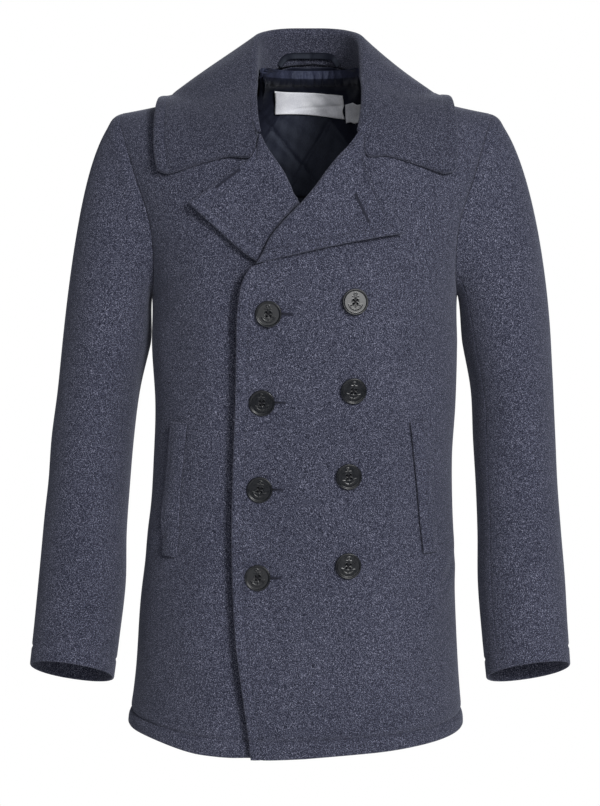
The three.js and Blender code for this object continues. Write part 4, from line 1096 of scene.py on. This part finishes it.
def buttonhole(name, cloth, start, end, eyelet, gape):
    """A worked buttonhole: a ring of stitches round a slit, with an eyelet at its end.

    gape is how far the slit is pulled open at its start."""
    start, end = np.array(start, float), np.array(end, float)
    run = unit(end - start)
    side = np.array([-run[1], run[0]])

    def lip(t, way):
        return start + (end - start) * t + way * side * (HOLE_LIP + gape / 2 * (1 - t))
    outline = [lip(t, 1) for t in np.linspace(0, 1, 34)]
    for t in np.linspace(0, math.pi, 12):
        bulb = math.cos(t) * (HOLE_LIP + eyelet * math.sin(t))
        outline.append(end + run * eyelet * (1 - math.cos(2 * t)) * 0.9 + side * bulb)
    outline += [lip(t, -1) for t in np.linspace(1, 0, 34)]
    path, normal = laid(cloth, outline, 0.25)
    odd = np.arange(len(path)) % 2
    tube(name, path, normal, 1.5 + 0.35 * odd, 0.9 + 0.15 * odd, THREAD, 8, ends=False)
    t = np.linspace(0, 1, 16)
    path, normal = laid(cloth, start + (end - start) * t[:, None], 0.1)
    # A dark strip along the slit: painted shade in the opening.
    tube(f"{name}_slit_painted_shade", path, normal, 0.5 + gape * (1 - t), 0.6, DARK_THREAD_AND_SHADE, 6)
    # A dark disc in the eyelet: painted shade in the hole.
    p, n = lay_on(*cloth, *(end + run * eyelet * 0.8), 0.15)
    right, up = frame_on(n)
    t = np.linspace(0, 2 * math.pi, 14, endpoint=False)[:, None]
    rim = p + eyelet * (np.cos(t) * right + np.sin(t) * up)
    verts = np.concatenate([rim, rim - n * 0.5, [p + n * 0.1, p - n * 0.5]])
    make(f"{name}_eyelet_painted_shade", verts, disc(2, 14), [DARK_THREAD_AND_SHADE])


def stitches(name, paths, long=3.0, gap=1.1):
    """Rows of small stitches lying along paths on the cloth."""
    verts, faces = [], []
    size = np.array([0.25, 0.9, 1, 0.9, 0.25]) * STITCH_THICK / 2
    rise = (-0.25, 0.05, 0.12, 0.05, -0.25)
    for path, normal in paths:
        run = arc(path[None], 1)[0]
        start = 1.0
        while start + long < run[-1]:
            at = np.linspace(start, start + long, 5)
            p, n = (np.stack([np.interp(at, run, v[:, k]) for k in range(3)], -1) for v in (path, normal))
            n = unit(n)
            w = np.cross(unit(np.gradient(p, axis=0)), n)
            faces += rod(5, 6, len(verts))
            for q in range(5):
                for t in np.linspace(0, 2 * math.pi, 6, endpoint=False):
                    off = w[q] * math.cos(t) + n[q] * math.sin(t) * 0.8
                    verts.append(p[q] + n[q] * rise[q] + off * size[q])
            start += long + gap
    make(name, np.array(verts), faces, [THREAD])


def pleats(x, down):
    """Gathers under the neck seam of the lining, with a line of stitches below them."""
    folds = 0.35 * np.sin(x * 0.31 + 0.9) + 0.2 * np.sin(x * 1.3 + 0.12 * down)
    for at, wide, deep, lean in GATHERS:
        folds = folds - 1.3 * deep * bump((x - at - lean * (down - 8)) / wide)
    end = 1 - smooth(down, 15, 19)
    swell = 2.6 * smooth(down, 0.5, 14) * end
    return folds * smooth(down, 0, 3) * end + swell - 0.9 * bump((down - 17) / 1.3)


def quilting(x, z):
    """Diagonal rows of stitches that cross, with the filling puffed up between them."""
    total = 0
    for lean, at, pitch in ((0.62, 34, 58), (-0.82, 32, 64)):
        d = (x - at - lean * (z + 46)) / math.hypot(1, lean)
        d = (d + pitch / 2) % pitch - pitch / 2
        total = total - 1.5 * bump(d / 2.6) + 0.5 * np.cos(d * 2 * math.pi / pitch)
    ripple = 0.5 * np.sin(x * 0.3 + 0.11 * z + 1) * np.sin(z * 0.19 - 0.1 * x)
    crease = 0.45 * np.sin(0.52 * x - 0.4 * z + 1.5 * np.sin(0.08 * z)) * bump((z + 30) / 22)
    return total + ripple + crease


def lining():
    """The back neck lining, sewn to the foot of the collar stand."""
    u = np.linspace(-1, 1, 241)
    x = sway(0) + u * LINING_REACH
    far = np.abs(x - sway(0))
    top = LINING_TOP + 1.4 * bump(far / 30) - 4 * smooth(far, 40, 58) - 31 * smooth(far, 59, 66)
    top = np.minimum(top, shoulder_height(np.maximum(far, 63), False) + 12)
    t = np.concatenate([np.linspace(0, 0.86, 50), np.linspace(0.87, 1, 24)])[:, None]
    z = LINING_FOOT + 4 + (top[None] - LINING_FOOT - 4) * t
    x = np.broadcast_to(x[None], z.shape)
    down = top[None] - z
    low = smooth(down, 17, 24)
    puff = pleats(x, down) + quilting(x, z) * low
    front, _ = on_panel(x, z, True, -(LINING_IN + 1.0))
    stand = np.interp(far, NECK_LINE[0], NECK_LINE[1])[None] - 2.6
    over_seam = smooth(z, -12, 3)
    front[..., 1] += np.minimum(stand - front[..., 1], 0) * over_seam
    front[..., 2] += (z - front[..., 2]) * over_seam
    n = grid_normals(front, FORWARD)
    shown = front + n * (puff * 0.8)[..., None]
    soft = (0.8, 0.8, 0.8, 0.8)
    obj = sheet("lining_back", shown, front - n * 0.9, soft, [SATIN, BAND_SATIN_PAINTED_LIGHT])
    # The band at the top of the lining gets the lighter satin: painted light.
    for face in obj.data.polygons:
        face.material_index = int(face.center.z / MM > LINING_TOP - LINING_BAND)


def label(name, top, foot, heights, slant):
    """A bare sewn label that lies on the lining, a little rumpled."""
    rows, cols = 26, 40
    t = np.linspace(0, 1, rows)[:, None]
    u = np.linspace(0, 1, cols)[None]
    left = top[0] + (foot[0] - top[0]) * t
    right = top[1] + (foot[1] - top[1]) * t
    x = left + (right - left) * u
    z = heights[0] + (heights[1] - heights[0]) * t - slant * (x - left)
    rumple = 0.8 * np.sin(5.3 * u + 3.1 * t + 0.4) * np.sin(math.pi * t)
    rumple = rumple + 1.0 * np.sin(19 * u - 8 * t) * np.sin(2.6 * t + 0.5) * smooth(u, 0.35, 0.75)
    rumple = rumple + 0.8 * np.sin(10 * t + 7 * u * u) * smooth(u, 0.3, 0.8)
    rumple = rumple - 1.1 * bump((t - 0.72 + 0.5 * (u - 0.4)) / 0.06) * smooth(u, 0.2, 0.4)
    over = LABEL_OVER + rumple * min(1, (top[1] - top[0]) / 60)
    points, _ = on_panel(x, z, True, -(LINING_IN + over))
    n = grid_normals(points, FORWARD)
    sheet(name, points, points - n * 0.7, (0.4, 0.4, 0.4, 0.4), [TAPE])


def hanger_loop(face):
    """A satin band sewn to the foot of the collar stand at both ends."""
    cloth = face, grid_normals(face, FORWARD)
    t = np.linspace(0, 1, 60)
    path, _ = laid(cloth, line(LOOP_PATH)(t), 0)
    path[:, 1] -= 2.6 + 1.2 * np.sin(math.pi * t) + 0.25 * np.sin(9 * t)
    normal = np.stack([0.05 * np.sin(8 * t), -1 + 0 * t, 0.16 + 0 * t], -1)
    obj = tube("hanger_loop_band", path, normal, LOOP_BAND, 1.5, LOOP_SATIN_PAINTED_SHADE, 18)
    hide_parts("hanger_loop")


def hem_thread(outer, n):
    """The hem's row of stitches along a front."""
    row = nearest(panel_rows(False), HEM_Z + HEM_STITCH)
    return outer[row, 2:-2], n[row, 2:-2]


def place_camera():
    data = bpy.data.cameras.new("camera")
    data.lens = FOCAL * SENSOR / PHOTO[1]
    data.sensor_width = SENSOR
    data.clip_end = 50
    camera = put("camera", data)
    camera.location = [v * MM for v in CAMERA_AT]
    camera.rotation_euler = (math.radians(90 - CAMERA_DOWN), 0, 0)
    bpy.context.scene.camera = camera


def lamp(name, power, size, at):
    """A round soft lamp that faces the coat."""
    data = bpy.data.lights.new(name, "AREA")
    data.energy = power
    data.shape = "DISK"
    data.size = size
    obj = put(name, data)
    obj.location = at
    x, y, z = np.array(LAMPS_AIM) - np.array(at)
    obj.rotation_euler = (math.atan2(math.hypot(x, y), -z), 0, math.atan2(-x, y))


def light():
    """Lamps, soft light from all round, and a white backdrop that lights nothing."""
    world = bpy.data.worlds.new("studio")
    world.use_nodes = True
    tree = world.node_tree
    seen = tree.nodes["Background"]
    give(tree, seen, {"Color": (1, 1, 1, 1), "Strength": 1.0})
    soft = tree.nodes.new("ShaderNodeBackground")
    give(tree, soft, {"Color": (0.9, 0.93, 1, 1), "Strength": AMBIENT})
    ray = tree.nodes.new("ShaderNodeLightPath").outputs["Is Camera Ray"]
    mix = tree.nodes.new("ShaderNodeMixShader")
    give(tree, mix, {"Fac": ray, 1: soft.outputs["Background"], 2: seen.outputs["Background"]})
    give(tree, tree.nodes["World Output"], {"Surface": mix.outputs["Shader"]})
    bpy.context.scene.world = world
    bpy.context.scene.view_settings.view_transform = "Standard"
    for row in LAMPS:
        lamp(*row)


def floor():
    look = Look("floor_white", 0.9)
    look.shade({"Base Color": look.ramp(look.noise(8, 2), [(0.3, 0.8), (0.7, 0.84)])})
    mesh = bpy.data.meshes.new("floor")
    mesh.from_pydata(FLOOR, [], [(0, 1, 2, 3)])
    mesh.materials.append(look.made)
    put("floor", mesh)


place_camera()
light()
floor()
front_left = panel("front_left", top_edge, 1, False, top_lift, FRONT_FOLD)
front_right = panel("front_right", under_edge, -1, False, under_lift)
for side, word in ((1, "left"), (-1, "right")):
    panel(f"back_{word}", lambda z: sway(z) - side * LAP, side, True, lambda x, z: 0 * x)
for side, word in ((-1, "right"), (1, "left")):
    sleeve(f"top_sleeve_{word}", side, HIND_ANGLE, FORE_ANGLE)
    sleeve(f"under_sleeve_{word}", side, FORE_ANGLE, HIND_ANGLE + 2 * math.pi)

*lapel_left, left_rows = lapel("lapel_left", LAPEL_TOP, roll_top, top_lift)
*lapel_right, right_rows = lapel(
    "lapel_right", LAPEL_UNDER, lambda z: np.minimum(roll_under(z), roll_top(z) + TUCK), under_lift
)
stand, collar_rows = collar()
for row in WELTS:
    welt(*row)

stitches("edge_stitches", collar_rows + left_rows + right_rows)
stitches("hem_stitches", [hem_thread(*front_left), hem_thread(*front_right)], 2.6, 1.4)

for turn, (button_name, x, z) in enumerate(BUTTONS):
    button(button_name, x, z, 0.14 * math.sin(2.3 * turn + 0.4), TOP_TILT if turn % 4 == 0 else 0)
    if turn < 4:
        buttonhole(f"buttonhole_{turn + 1}", front_left, (x + 4, z), (x + 25, z - 0.5), 1.0, 2.2)
buttonhole("lapel_hole_left", lapel_left, (56.5, -133), (71, -163), 1.3, 0.3)
buttonhole("lapel_hole_right", lapel_right, (-73, -106), (-98, -125), 1.1, 0.2)

lining()
for row in LABELS:
    label(*row)
hanger_loop(stand)
